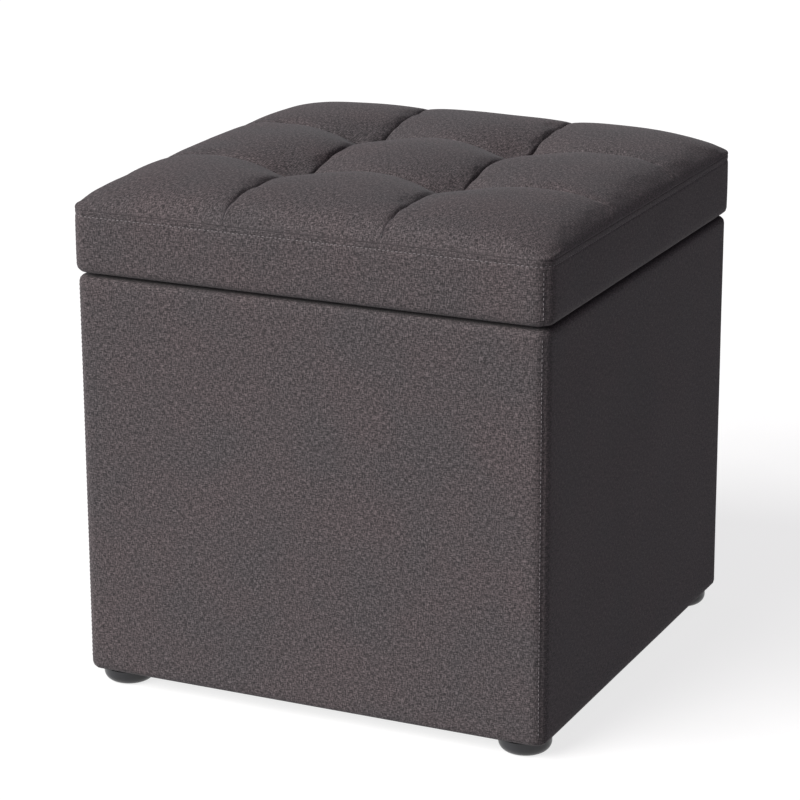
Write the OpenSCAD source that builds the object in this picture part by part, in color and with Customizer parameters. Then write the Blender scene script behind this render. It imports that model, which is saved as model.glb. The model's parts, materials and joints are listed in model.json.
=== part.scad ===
// Cube storage ottoman: a board box with padded fabric sides, a hinged tufted
// lid on two butt hinges, and a slotted steel stay that holds the lid open.
// The origin is on the floor at the middle of the plan, -Y is the front.

/* [Body] */
// Width of the body over its fabric
body_w = 400; // [360:5:460]
// Depth of the body over its fabric
body_d = 400; // [360:5:460]
// Height of the body from its fabric underside to its rim
body_h = 330; // [290:5:360]
// Height of the gap between the rim and the lid, set by the closed hinges
lid_gap = 3; // [3:0.2:5]

/* [Lid] */
// How far the lid stands out past the body on every side
lid_overhang = 2.2; // [1:0.2:6]
// Height of the lid's side band, from its underside to the top seam
band_h = 51; // [44:1:60]
// Height of the tufted top over the seam
crown_h = 27; // [22:1:32]
// Radius of the padded upper edge of the lid
crown_r = 24; // [18:1:26]

/* [Boards] */
// Thickness of the wall, bottom and lid boards
board_t = 9; // [9:1:12]
// Side of the square corner posts
post_side = 20; // [18:1:26]
// Thickness of the rail that takes the hinge screws
rail_t = 18; // [16:1:24]
// Height of the hinge rail
rail_h = 34; // [28:1:34]

/* [Upholstery] */
// Thickness of the woven cover
cover_t = 1.2; // [1:0.1:1.4]
// Thickness of the foam on the body's sides
padding_t = 5; // [4:0.5:6]
// Thickness of the foam around the edge of the lid board
edge_foam_t = 4; // [3:0.5:6]
// Thickness of the non-woven lining and dust cover
lining_t = 0.8; // [0.6:0.1:1]

/* [Feet] */
// Diameter of the glide feet
foot_dia = 42; // [36:1:44]
// Height of the glide feet
foot_h = 12; // [10:1:18]
// Distance from the body's side to a foot's centre
foot_inset = 25; // [24:1:40]

/* [Hinge] */
// Distance of each hinge from the middle
hinge_offset = 110; // [80:5:130]
// Length of a hinge along its pin
hinge_len = 50; // [40:5:60]
// Outer diameter of the knuckles
knuckle_dia = 7; // [6.6:0.1:7]
// Diameter of the hinge pin
pin_dia = 3; // [2.5:0.1:3.2]

/* [Stay] */
// Distance from the hinge axis to both pivots of the stay
stay_reach = 110; // [100:1:120]
// Angle that the lid opens to
open_angle = 95; // [85:1:98]

/* [Hidden] */

// Numbers of sides: full curves on round parts, a coarser step on padded shells
$fn = 48;
shell_fn = 32;
eps = 0.01;

// Heights, from the floor up
z_fabric = foot_h + lining_t;
z_rim = z_fabric + body_h;
z_lid = z_rim + lid_gap;
z_seam = z_lid + band_h;
z_crown = z_seam + crown_h;
z_floor = z_fabric + cover_t + board_t;
z_tuft = z_seam + 2;

// Half sizes of the body's layers, from the outside in
half_w = body_w / 2;
half_d = body_d / 2;
skin_w = half_w - cover_t;
skin_d = half_d - cover_t;
box_w = skin_w - padding_t;
box_d = skin_d - padding_t;
room_w = box_w - board_t;
room_d = box_d - board_t;

// Edge radii of the padded body
body_corner_r = 11;
body_rim_r = 8;
body_foot_r = 5;
rim_foam_t = 3;
z_board_top = z_rim - cover_t - rim_foam_t;
z_rail = z_board_top - rail_h;
cover_lip = 32;
mouth_t = cover_t;
mitre_gap = 0.1;
padding_corner_r = 20;

// Lid plan
lid_half_w = half_w + lid_overhang;
lid_half_d = half_d + lid_overhang;
lid_corner_r = 14;
lid_under_r = 5;
lid_board_w = lid_half_w - cover_t - edge_foam_t;
lid_board_d = lid_half_d - cover_t - edge_foam_t;
lid_lip = 46;
board_edge = 2.2;
lid_lining_margin = 38;

// Tufting: nine squares, four pull points
tuft_x = body_w / 6;
tuft_y = body_d / 6;
dip_r = 30;
twine_dia = 1.6;
washer_dia = 22;

// Hinge: the axis stands behind the back, level with the middle of the gap
hinge_y = half_d + 3;
hinge_z = z_rim + lid_gap / 2;
leaf_t = 1.2;
leaf_front = room_d - rail_t + 4;
leaf_back = hinge_y - knuckle_dia / 2 - 0.3;
knuckles = 5;
knuckle_clear = 0.15;
bore_clear = 0.05;
hinge_screw_y = room_d - rail_t / 2;
hinge_screw_pitch = 17;
hinge_screw_len = 16;
lid_screw_len = 10;

// Stay: both pivots are equally far from the hinge axis, so the arm turns by
// half of the lid's angle
stay_alpha = 6;
stay_phi = 16;
stay_t = 2;
plate_t = 1.5;
plate_x = -(room_w - mouth_t);
arm_x = plate_x + plate_t + 4;
arm_w = 14;
stud_dia = 6;
slot_clear = 0.08;
rivet_dia = 5;
arm_end = 12;
stay_a_y = hinge_y - stay_reach * cos(stay_alpha);
stay_a_z = hinge_z - stay_reach * sin(stay_alpha);
stay_b_y = hinge_y - stay_reach * cos(stay_alpha + stay_phi);
stay_b_z = hinge_z - stay_reach * sin(stay_alpha + stay_phi);
stay_short = 2 * stay_reach * sin(stay_phi / 2);
stay_long = 2 * stay_reach * sin((stay_phi + open_angle) / 2);
stay_lean = stay_alpha + stay_phi / 2;
bracket_w = 34;
bracket_t = 1.5;
bracket_flange = 12;

// Fasteners
panel_screw_dia = 3.5;
panel_screw_len = 28;
foot_screw_dia = 4;
staple_w = 10;
staple_wire = 0.7;
staple_leg = 5;

fabric = "#575051";
board = "#c9a878";
foam = "#e8e2cf";
lining = "#2b2a2d";
plastic = "#1d1c20";
steel = "#b9bbbd";
thread = "#d8d2c4";

// A rod of radius r along X, Y or Z, with its middle at the origin
module rod_x(r, h) {
    rotate([0, 90, 0]) cylinder(r = r, h = h, center = true);
}

module rod_z(r, z0, z1) {
    translate([0, 0, z0]) cylinder(r = r, h = z1 - z0);
}

// A plate of half sizes a by b between two heights
module slab(a, b, z0, z1) {
    translate([-a, -b, z0]) cube([2 * a, 2 * b, z1 - z0]);
}

// A rectangle of half sizes a by b with round corners
module rounded_plan(a, b, r) {
    square([2 * (a - r), 2 * b], center = true);
    square([2 * a, 2 * (b - r)], center = true);
    for (x = [-1, 1]) for (y = [-1, 1]) translate([x * (a - r), y * (b - r)]) circle(r);
}

// A ring of circular section, as a corner of a padded edge
module edge_ring(corner_r, edge_r) {
    rotate_extrude($fn = shell_fn) intersection() {
        translate([corner_r - edge_r, 0]) circle(edge_r, $fn = shell_fn);
        translate([0, -edge_r]) square([corner_r, 2 * edge_r]);
    }
}

// The padded body's outline, shrunk by t on every side
module body_form(t) {
    a = half_w - body_corner_r;
    b = half_d - body_corner_r;
    r = body_corner_r - t;
    hull() for (x = [-a, a]) for (y = [-b, b]) translate([x, y, 0]) {
        translate([0, 0, z_rim - body_rim_r]) edge_ring(r, body_rim_r - t);
        translate([0, 0, z_fabric + body_foot_r]) edge_ring(r, body_foot_r - t);
    }
}

// The padded lid's outline, shrunk by t on every side
module lid_form(t) {
    a = lid_half_w - lid_corner_r;
    b = lid_half_d - lid_corner_r;
    r = lid_corner_r - t;
    c = lid_half_w - crown_r;
    d = lid_half_d - crown_r;
    hull() {
        for (x = [-a, a]) for (y = [-b, b]) translate([x, y, 0]) {
            translate([0, 0, z_lid + lid_under_r]) edge_ring(r, lid_under_r - t);
            translate([0, 0, z_seam - eps]) cylinder(r = r, h = eps, $fn = shell_fn);
        }
        for (x = [-c, c]) for (y = [-d, d])
            translate([x, y, z_crown - crown_r]) sphere(crown_r - t, $fn = shell_fn);
    }
}

// Puts its children at the four tuft points
module at_tufts() {
    for (x = [-tuft_x, tuft_x]) for (y = [-tuft_y, tuft_y]) translate([x, y, 0]) children();
}

// The conical dips of the tufting, widened by t
module dips(t) {
    at_tufts() translate([0, 0, z_tuft - t])
        cylinder(r1 = 2 + t, r2 = dip_r + t, h = z_crown - z_tuft + t + eps);
}

// The outline of the room inside the walls, between the posts, shrunk by t
module room_outline(t) {
    a = room_w - t;
    b = room_d - t;
    p = post_side + 2 * eps;
    difference() {
        square([2 * a, 2 * b], center = true);
        for (x = [-1, 1]) for (y = [-1, 1])
            translate([x * (room_w - post_side / 2), y * (room_d - post_side / 2)])
                square(p + 2 * t, center = true);
    }
}

// The same outline at the height of the hinge rail
module mouth_outline(t) {
    difference() {
        room_outline(t);
        translate([-room_w, room_d - rail_t - t]) square([2 * room_w, rail_t + 2 * t]);
    }
}

// ---------- Carcass ----------

module bottom_panel() {
    color(board) slab(room_w, room_d, z_fabric + cover_t, z_floor);
}

module end_panel(side) {
    color(board) translate([-box_w, side > 0 ? room_d : -box_d, z_fabric + cover_t])
        cube([2 * box_w, board_t, z_board_top - z_fabric - cover_t]);
}

module side_panel(side) {
    color(board) translate([side > 0 ? room_w : -box_w, -room_d, z_fabric + cover_t])
        cube([board_t, 2 * room_d, z_board_top - z_fabric - cover_t]);
}

module corner_post(sx, sy) {
    color(board) translate([sx * (room_w - post_side / 2), sy * (room_d - post_side / 2),
                            (z_floor + z_board_top) / 2])
        cube([post_side, post_side, z_board_top - z_floor], center = true);
}

module hinge_rail() {
    color(board) translate([-room_w + post_side, room_d - rail_t, z_rail])
        cube([2 * (room_w - post_side), rail_t, rail_h]);
}

// A countersunk wood screw that points along -Z, with its head flush at the origin
module wood_screw(dia, len) {
    rotate([180, 0, 0]) {
        cylinder(d1 = 2 * dia - 0.2, d2 = dia, h = dia / 2);
        cylinder(d = dia, h = len - dia);
        translate([0, 0, len - dia]) cylinder(d1 = dia, d2 = 0.4, h = dia);
    }
}

module panel_screws() {
    rows = [z_floor + 30, (z_floor + z_board_top) / 2, z_board_top - 30];
    lift = 6;
    color(steel) for (z = rows) for (sx = [-1, 1]) for (sy = [-1, 1]) {
        translate([sx * (room_w - post_side / 2), sy * box_d, z])
            rotate([-90 * sy, 0, 0]) wood_screw(panel_screw_dia, panel_screw_len);
        translate([sx * box_w, sy * (room_d - post_side / 2), z + lift])
            rotate([0, 90 * sx, 0]) wood_screw(panel_screw_dia, panel_screw_len);
    }
}

// ---------- Body upholstery ----------

// Section through one wall's foam: a leg outside the board, folded over its top
module padding_section(half_u) {
    skin = half_u - cover_t - 0.05;
    box = half_u - cover_t - padding_t;
    top_r = body_rim_r - cover_t;
    z0 = z_fabric + cover_t;
    z1 = z_rim - cover_t - 0.3;
    difference() {
        union() {
            translate([box - board_t, z0]) square([padding_t + board_t - body_foot_r, z1 - z0]);
            translate([box - board_t, z0 + body_foot_r])
                square([skin - box + board_t, z1 - top_r - z0 - body_foot_r]);
            translate([box - board_t, z1 - top_r]) square([skin - top_r - box + board_t, top_r]);
            translate([skin - top_r, z1 - top_r]) circle(top_r);
        }
        square([box, z_board_top]);
    }
}

// One wall's foam, turned from the right-hand side, with mitred, rounded corners
module padding(turn, half_u, half_v) {
    reach = [2 * half_u + mitre_gap, 2 * half_v];
    color(foam) intersection() {
        rotate([0, 0, turn]) rotate([90, 0, 0])
            linear_extrude(2 * half_v, center = true) padding_section(half_u);
        linear_extrude(z_rim) intersection() {
            rounded_plan(half_w - cover_t, half_d - cover_t, padding_corner_r);
            rotate([0, 0, turn]) polygon([[mitre_gap, 0], [reach.x, -reach.y], reach]);
        }
    }
}

// The sewn outer cover, turned in over the rim and under the bottom edge
module body_cover() {
    lip_z = z_board_top - cover_lip;
    color(fabric) difference() {
        union() {
            difference() {
                body_form(0);
                body_form(cover_t);
            }
            translate([0, 0, lip_z]) linear_extrude(z_rim - cover_t / 2 - lip_z) difference() {
                mouth_outline(0);
                mouth_outline(mouth_t);
            }
        }
        translate([0, 0, lip_z - 1]) linear_extrude(body_h) mouth_outline(mouth_t);
        slab(room_w - 20, room_d - 20, 0, z_fabric + 2 * cover_t);
    }
}

module wall_liner() {
    top = z_rail - lining_t;
    color(lining) translate([0, 0, z_floor + lining_t]) linear_extrude(top - z_floor - lining_t)
        difference() {
            room_outline(0);
            room_outline(lining_t);
        }
}

module floor_liner() {
    color(lining) translate([0, 0, z_floor]) linear_extrude(lining_t) room_outline(0.2);
}

module dust_cover() {
    color(lining) slab(half_w - 9, half_d - 9, z_fabric - lining_t, z_fabric);
}

// A staple with its crown along X, driven up into +Z from below the origin
module staple() {
    translate([-staple_w / 2, -staple_wire / 2, -staple_wire])
        cube([staple_w, staple_wire, staple_wire]);
    for (x = [-staple_w / 2, staple_w / 2 - staple_wire])
        translate([x, -staple_wire / 2, -staple_wire])
            cube([staple_wire, staple_wire, staple_wire + staple_leg]);
}

// Rows of staples along the four sides of a square, count on each side
module staple_frame(a, b, z, count) {
    pitch = 2 * (min(a, b) - 34) / (count - 1);
    for (i = [0 : count - 1]) {
        s = (i - (count - 1) / 2) * pitch;
        for (k = [-1, 1]) {
            translate([s, k * b, z]) staple();
            translate([k * a, s, z]) rotate([0, 0, 90]) staple();
        }
    }
}

module dust_cover_staples() {
    color(steel) staple_frame(half_w - 22, half_d - 22, z_fabric - lining_t, 6);
}

// ---------- Feet ----------

module foot(sx, sy) {
    r = foot_dia / 2;
    edge = 8;
    color(plastic) translate([sx * (half_w - foot_inset), sy * (half_d - foot_inset), 0])
        difference() {
            rotate_extrude() intersection() {
                square([r, foot_h]);
                union() {
                    translate([r - edge, edge]) circle(edge);
                    square([r - edge, foot_h]);
                    translate([0, edge]) square([r, foot_h - edge]);
                }
            }
            rod_z(7, -1, foot_h - 4);
            rod_z(foot_screw_dia / 2 + 0.2, 0, foot_h + 1);
        }
}

module foot_screws() {
    head_z = foot_h - 4;
    color(steel) for (sx = [-1, 1]) for (sy = [-1, 1])
        translate([sx * (half_w - foot_inset), sy * (half_d - foot_inset), 0]) {
            rod_z(foot_screw_dia, head_z - 2.4, head_z - 0.02);
            rod_z(foot_screw_dia / 2, head_z - 0.5, head_z + 14);
        }
}

// ---------- Hinges ----------

// Puts its children where the hinge on one side stands
module at_hinge(side) {
    translate([side * hinge_offset, 0, 0]) children();
}

// Every second knuckle of a hinge, starting with knuckle number first
module knuckle_row(first) {
    pitch = hinge_len / knuckles;
    for (i = [first : 2 : knuckles - 1])
        translate([(i + 0.5) * pitch - hinge_len / 2, hinge_y, hinge_z])
            rod_x(knuckle_dia / 2, pitch - knuckle_clear);
}

// The tabs that join a leaf to its knuckles, between two heights
module knuckle_tabs(first, z0) {
    pitch = hinge_len / knuckles;
    for (i = [first : 2 : knuckles - 1])
        translate([i * pitch - hinge_len / 2 + knuckle_clear / 2, leaf_back - eps, z0])
            cube([pitch - knuckle_clear, hinge_y - leaf_back, leaf_t]);
}

// A leaf: a drilled plate, its tabs and its knuckles; up is 1 for the lid's leaf
module hinge_leaf(side, up) {
    z0 = up > 0 ? z_lid - leaf_t : z_rim;
    first = up > 0 ? 1 : 0;
    color(steel) at_hinge(side) difference() {
        union() {
            translate([-hinge_len / 2, leaf_front, z0]) cube([hinge_len, leaf_back - leaf_front, leaf_t]);
            knuckle_tabs(first, z0);
            knuckle_row(first);
        }
        translate([0, hinge_y, hinge_z]) rod_x(pin_dia / 2 + bore_clear, hinge_len + 2);
        for (i = [-1, 0, 1]) translate([i * hinge_screw_pitch, hinge_screw_y, 0])
            rod_z(1.7, z0 - 1, z0 + leaf_t + 1);
    }
}

module hinge_pin(side) {
    color(steel) at_hinge(side) translate([0, hinge_y, hinge_z]) {
        rod_x(pin_dia / 2, hinge_len + 1);
        for (s = [-1, 1]) translate([s * (hinge_len / 2 + 0.75), 0, 0]) rod_x(pin_dia / 2 + 0.7, 1.2);
    }
}

// A flat-headed hinge screw along -Z; the head is let into the leaf
module hinge_screw(len) {
    rod_z(1.6, -len, 0);
    translate([0, 0, -len - 2]) cylinder(d1 = 0.4, d2 = 3.2, h = 2);
}

module hinge_screws(up) {
    z0 = up > 0 ? z_lid - leaf_t : z_rim + leaf_t;
    color(steel) for (side = [-1, 1]) at_hinge(side) for (i = [-1, 0, 1])
        translate([i * hinge_screw_pitch, hinge_screw_y, z0])
            rotate([up > 0 ? 180 : 0, 0, 0]) {
                hinge_screw(up > 0 ? lid_screw_len - 2 : hinge_screw_len);
                rod_z(2.4, 0.02, 0.27);
                rod_z(1.6, -eps, 0.1);
            }
}

// ---------- Lid ----------

// A layer of the lid board, set in from its widest outline, between two heights above its underside
module lid_board_layer(inset, h0, h1) {
    translate([0, 0, z_lid + cover_t + h0]) linear_extrude(h1 - h0)
        rounded_plan(lid_board_w - inset, lid_board_d - inset, lid_corner_r - 4);
}

module lid_board() {
    color(board) difference() {
        hull() {
            lid_board_layer(0, board_edge / 2, board_t);
            lid_board_layer(board_edge, 0, 1);
        }
        at_tufts() rod_z(twine_dia, z_lid, z_seam);
    }
}

module lid_foam() {
    color(foam) difference() {
        lid_form(cover_t + 0.05);
        slab(lid_board_w, lid_board_d, 0, z_lid + cover_t + board_t);
        slab(body_w, body_d, 0, z_lid + cover_t);
        dips(cover_t);
        at_tufts() rod_z(twine_dia, z_lid, z_crown);
    }
}

// The lid's straight sides with their padded lower edge, shrunk by t, up to a height
module band_form(t, top) {
    a = lid_half_w - lid_corner_r;
    b = lid_half_d - lid_corner_r;
    r = lid_corner_r - t;
    hull() for (x = [-a, a]) for (y = [-b, b]) translate([x, y, 0]) {
        translate([0, 0, z_lid + lid_under_r]) edge_ring(r, lid_under_r - t);
        translate([0, 0, top - eps]) cylinder(r = r, h = eps, $fn = shell_fn);
    }
}

module lid_band() {
    color(fabric) difference() {
        band_form(0, z_seam);
        band_form(cover_t, z_seam + 1);
        slab(lid_half_w - lid_lip, lid_half_d - lid_lip, 0, z_lid + 2 * cover_t);
    }
}

module lid_top_cover() {
    color(fabric) difference() {
        lid_form(0);
        dips(0);
        difference() {
            lid_form(cover_t);
            dips(cover_t - 0.1);
        }
        slab(body_w, body_d, 0, z_seam);
        at_tufts() rod_z(twine_dia, z_lid, z_tuft);
    }
}

module lid_lining() {
    color(lining) slab(lid_half_w - lid_lining_margin, lid_half_d - lid_lining_margin,
                       z_lid - lining_t, z_lid);
}

module lid_lining_staples() {
    margin = lid_lining_margin + 4;
    color(steel) staple_frame(lid_half_w - margin, lid_half_d - margin, z_lid - lining_t, 6);
}

module tuft_twines() {
    color(thread) at_tufts() {
        rod_z(twine_dia / 2, z_lid + 0.2, z_tuft - 0.5);
        rod_z(twine_dia, z_tuft - 0.6, z_tuft + 1.4);
    }
}

module tuft_washers() {
    color(plastic) at_tufts() difference() {
        rod_z(washer_dia / 2, z_lid + 0.1, z_lid + cover_t);
        rod_z(twine_dia / 2 + 0.1, z_lid, z_lid + 2 * cover_t);
    }
}

// ---------- Stay ----------

// A rod of radius r along X at a point of the stay's plane
module stay_rod(y, z, r, x0, x1) {
    translate([(x0 + x1) / 2, y, z]) rod_x(r, x1 - x0);
}

module stay_plate() {
    h = 46;
    w = 18;
    color(steel) difference() {
        translate([plate_x, stay_b_y - w / 2, stay_b_z - h / 2]) cube([plate_t, w, h]);
        stay_rod(stay_b_y, stay_b_z, 2, plate_x - 1, plate_x + plate_t + 1);
        for (s = [-1, 1]) stay_rod(stay_b_y, stay_b_z + s * 15, 1.7, plate_x - 1, plate_x + plate_t + 1);
    }
}

module stay_stud() {
    face = plate_x + plate_t;
    color(steel) {
        stay_rod(stay_b_y, stay_b_z, 1.95, plate_x + 0.1, face + 1);
        stay_rod(stay_b_y, stay_b_z, 4.5, face + 0.02, arm_x - stay_t / 2 - 0.3);
        stay_rod(stay_b_y, stay_b_z, stud_dia / 2, face + 1, arm_x + stay_t / 2 + 0.4);
        stay_rod(stay_b_y, stay_b_z, 5, arm_x + stay_t / 2 + 0.3, arm_x + stay_t / 2 + 1.8);
    }
}

module stay_plate_screws() {
    face = plate_x + plate_t;
    color(steel) for (s = [-1, 1]) {
        stay_rod(stay_b_y, stay_b_z + s * 15, 1.6, face - 11, face + 0.1);
        stay_rod(stay_b_y, stay_b_z + s * 15, 3, face + 0.02, face + 1.4);
    }
}

// The L-shaped bracket under the lid that carries the arm's pivot
module stay_bracket() {
    x0 = arm_x + stay_t / 2 + 0.3;
    top = z_lid;
    color(steel) difference() {
        union() {
            translate([x0, stay_a_y - bracket_w / 2, top - bracket_t])
                cube([bracket_flange, bracket_w, bracket_t]);
            translate([x0, stay_a_y - 8, stay_a_z]) cube([bracket_t, 16, top - stay_a_z]);
            stay_rod(stay_a_y, stay_a_z, 8, x0, x0 + bracket_t);
        }
        stay_rod(stay_a_y, stay_a_z, rivet_dia / 2 + bore_clear, x0 - 1, x0 + bracket_t + 1);
        for (s = [-1, 1]) translate([x0 + bracket_flange / 2, stay_a_y + s * 10, 0])
            rod_z(1.7, top - 5, top + 1);
    }
}

module stay_rivet() {
    x0 = arm_x - stay_t / 2;
    x1 = arm_x + stay_t / 2 + 0.3 + bracket_t;
    color(steel) {
        stay_rod(stay_a_y, stay_a_z, rivet_dia / 2, x0 - 0.5, x1 + 0.5);
        stay_rod(stay_a_y, stay_a_z, 4.2, x0 - 1.6, x0 - 0.2);
        stay_rod(stay_a_y, stay_a_z, 4.2, x1 + 0.02, x1 + 1.3);
    }
}

module stay_bracket_screws() {
    x0 = arm_x + stay_t / 2 + 0.3 + bracket_flange / 2;
    z0 = z_lid - bracket_t;
    color(steel) for (s = [-1, 1]) translate([x0, stay_a_y + s * 10, 0]) {
        rod_z(1.6, z0 - 0.1, z0 + 9);
        rod_z(3, z0 - 1.4, z0 - 0.02);
    }
}

// The flat arm: a pivot hole at one end and a long slot for the guide stud
module stay_arm() {
    r = arm_w / 2;
    slot_r = stud_dia / 2 + slot_clear;
    color(steel) translate([arm_x, stay_a_y, stay_a_z]) rotate([stay_lean, 0, 0])
        difference() {
            union() {
                rod_x(r, stay_t);
                translate([-stay_t / 2, -r, -stay_long - arm_end + r])
                    cube([stay_t, arm_w, stay_long + arm_end - r]);
                translate([0, 0, -stay_long - arm_end + r]) rod_x(r, stay_t);
            }
            rod_x(rivet_dia / 2 + bore_clear, stay_t + 1);
            translate([-stay_t, -slot_r, -stay_long]) cube([2 * stay_t, 2 * slot_r, stay_long - stay_short]);
            for (z = [-stay_short, -stay_long]) translate([0, 0, z]) rod_x(slot_r, stay_t + 1);
        }
}

bottom_panel();
end_panel(-1);  // front_panel
end_panel(1);  // back_panel
side_panel(-1);  // left_panel
side_panel(1);  // right_panel
corner_post(-1, -1);  // corner_post_front_left
corner_post(1, -1);  // corner_post_front_right
corner_post(-1, 1);  // corner_post_back_left
corner_post(1, 1);  // corner_post_back_right
hinge_rail();
panel_screws();
padding(-90, half_d, half_w);  // front_padding
padding(90, half_d, half_w);  // back_padding
padding(180, half_w, half_d);  // left_padding
padding(0, half_w, half_d);  // right_padding
body_cover();
wall_liner();
floor_liner();
dust_cover();
dust_cover_staples();
foot(-1, -1);  // foot_front_left
foot(1, -1);  // foot_front_right
foot(-1, 1);  // foot_back_left
foot(1, 1);  // foot_back_right
foot_screws();
hinge_leaf(-1, 0);  // body_hinge_leaf_left
hinge_leaf(1, 0);  // body_hinge_leaf_right
hinge_pin(-1);  // hinge_pin_left
hinge_pin(1);  // hinge_pin_right
hinge_screws(0);  // body_hinge_screws
stay_plate();
stay_stud();
stay_plate_screws();
lid_board();
lid_foam();
lid_band();
lid_top_cover();
lid_lining();
lid_lining_staples();
tuft_twines();
tuft_washers();
hinge_leaf(-1, 1);  // lid_hinge_leaf_left
hinge_leaf(1, 1);  // lid_hinge_leaf_right
hinge_screws(1);  // lid_hinge_screws
stay_bracket();
stay_rivet();
stay_bracket_screws();
stay_arm();
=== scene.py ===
"""Looks of a cube storage ottoman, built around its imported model.

Every length is in metres, in the model's own frame: the origin is on the floor at the
middle of the plan, -Y is the front and +Z is up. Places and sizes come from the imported
nodes, so each cloth, stitch and lining follows the boards that it covers.
"""

import json
import logging
import math
from collections.abc import Callable, Iterable, Sequence
from dataclasses import dataclass, field
from enum import Enum

import bpy
import numpy as np
from mathutils import Matrix, Vector


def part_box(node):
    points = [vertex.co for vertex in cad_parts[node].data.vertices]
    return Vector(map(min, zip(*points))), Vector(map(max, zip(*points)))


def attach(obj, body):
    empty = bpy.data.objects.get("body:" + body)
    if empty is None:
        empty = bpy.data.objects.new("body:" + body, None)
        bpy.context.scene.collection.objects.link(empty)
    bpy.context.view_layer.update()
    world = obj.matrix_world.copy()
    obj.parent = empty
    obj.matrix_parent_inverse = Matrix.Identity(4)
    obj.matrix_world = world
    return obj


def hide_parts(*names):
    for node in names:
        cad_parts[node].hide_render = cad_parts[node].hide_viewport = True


log = logging.getLogger("ottoman")

MM = 0.001
WEAVE_MAP = "Weave"
# A wave texture of scale 1 repeats after this many metres.
WAVE_LENGTH = 0.31
SWELL_FRAMES = 20
SQUARE_CORNERS = [math.pi / 4 + k * math.pi / 2 for k in range(4)]

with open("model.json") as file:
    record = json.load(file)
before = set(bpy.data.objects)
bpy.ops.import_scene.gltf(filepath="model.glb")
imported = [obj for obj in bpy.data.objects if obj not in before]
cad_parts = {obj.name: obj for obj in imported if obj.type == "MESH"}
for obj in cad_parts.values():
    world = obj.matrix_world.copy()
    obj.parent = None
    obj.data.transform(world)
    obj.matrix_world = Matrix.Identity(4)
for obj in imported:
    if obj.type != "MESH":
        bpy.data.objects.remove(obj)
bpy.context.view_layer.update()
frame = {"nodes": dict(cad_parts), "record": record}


# ---------------------------------------------------------------- colour and nodes


def srgb(code: str) -> tuple[float, float, float, float]:
    """Turns an sRGB hex colour into the linear colour that a shader takes.

    Args:
        code: six hex digits, with or without a leading hash.

    Returns:
        Linear red, green and blue, and an alpha of 1.
    """
    digits = code.lstrip("#")
    channels = [int(digits[i : i + 2], 16) / 255 for i in (0, 2, 4)]
    linear = [c / 12.92 if c <= 0.04045 else ((c + 0.055) / 1.055) ** 2.4 for c in channels]
    return (*linear, 1.0)


def add_node(tree: bpy.types.NodeTree, kind: str, inputs: dict | None = None,
             stops: Sequence[tuple] = (), **settings) -> bpy.types.Node:
    """Adds one node with its settings, and sets or links its inputs.

    Args:
        tree: the node tree to add to.
        kind: the node's type, such as ShaderNodeMath.
        inputs: input name or number to a value, or to the output socket to link from.
        stops: a colour ramp's pairs of position and linear colour, in order.
        settings: the node's own properties.

    Returns:
        The new node.
    """
    node = tree.nodes.new(kind)
    for name, value in settings.items():
        setattr(node, name, value)
    for name, value in (inputs or {}).items():
        if isinstance(value, bpy.types.NodeSocket):
            tree.links.new(value, node.inputs[name])
        else:
            node.inputs[name].default_value = value
    while stops and len(node.color_ramp.elements) < len(stops):
        node.color_ramp.elements.new(0.5)
    for number, (position, colour) in enumerate(stops):
        node.color_ramp.elements[number].position = position
        node.color_ramp.elements[number].color = colour
    return node


@dataclass(frozen=True)
class Surface:
    """What every finish shares: a name and the uniform values of its shader."""

    name: str
    roughness: float = 0.6
    metallic: float = 0.0
    ior: float | None = None
    sheen: float = 0.0
    sheen_roughness: float = 0.5

    def start(self) -> tuple[bpy.types.Material, bpy.types.NodeTree, bpy.types.Node]:
        """Makes the material with its shader's uniform values set.

        Returns:
            The material, its node tree and its Principled shader.
        """
        material = bpy.data.materials.new(self.name)
        material.use_nodes = True
        tree = material.node_tree
        shader = next(n for n in tree.nodes if n.type == "BSDF_PRINCIPLED")
        shader.inputs["Roughness"].default_value = self.roughness
        shader.inputs["Metallic"].default_value = self.metallic
        shader.inputs["Sheen Weight"].default_value = self.sheen
        shader.inputs["Sheen Roughness"].default_value = self.sheen_roughness
        if self.ior is not None:
            shader.inputs["IOR"].default_value = self.ior
        return material, tree, shader

    def place(self, tree: bpy.types.NodeTree) -> bpy.types.NodeSocket:
        """The point on the surface, in metres, in the object's own frame."""
        return add_node(tree, "ShaderNodeTexCoord").outputs["Object"]

    def dress(self, tree: bpy.types.NodeTree, shader: bpy.types.Node, tint: bpy.types.NodeSocket,
              height: bpy.types.NodeSocket, depth: float, strength: float = 1.0) -> None:
        """Joins a colour pattern and a height pattern to the shader.

        Args:
            tree: the node tree.
            shader: the shader whose colour and normal they drive.
            tint: the colour pattern.
            height: the height pattern, from 0 to 1.
            depth: how high 1 stands, in metres.
            strength: how much of the height shows.
        """
        tree.links.new(tint, shader.inputs["Base Color"])
        relief = add_node(tree, "ShaderNodeBump", {
            "Height": height, "Distance": depth, "Strength": strength})
        tree.links.new(relief.outputs["Normal"], shader.inputs["Normal"])


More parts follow.
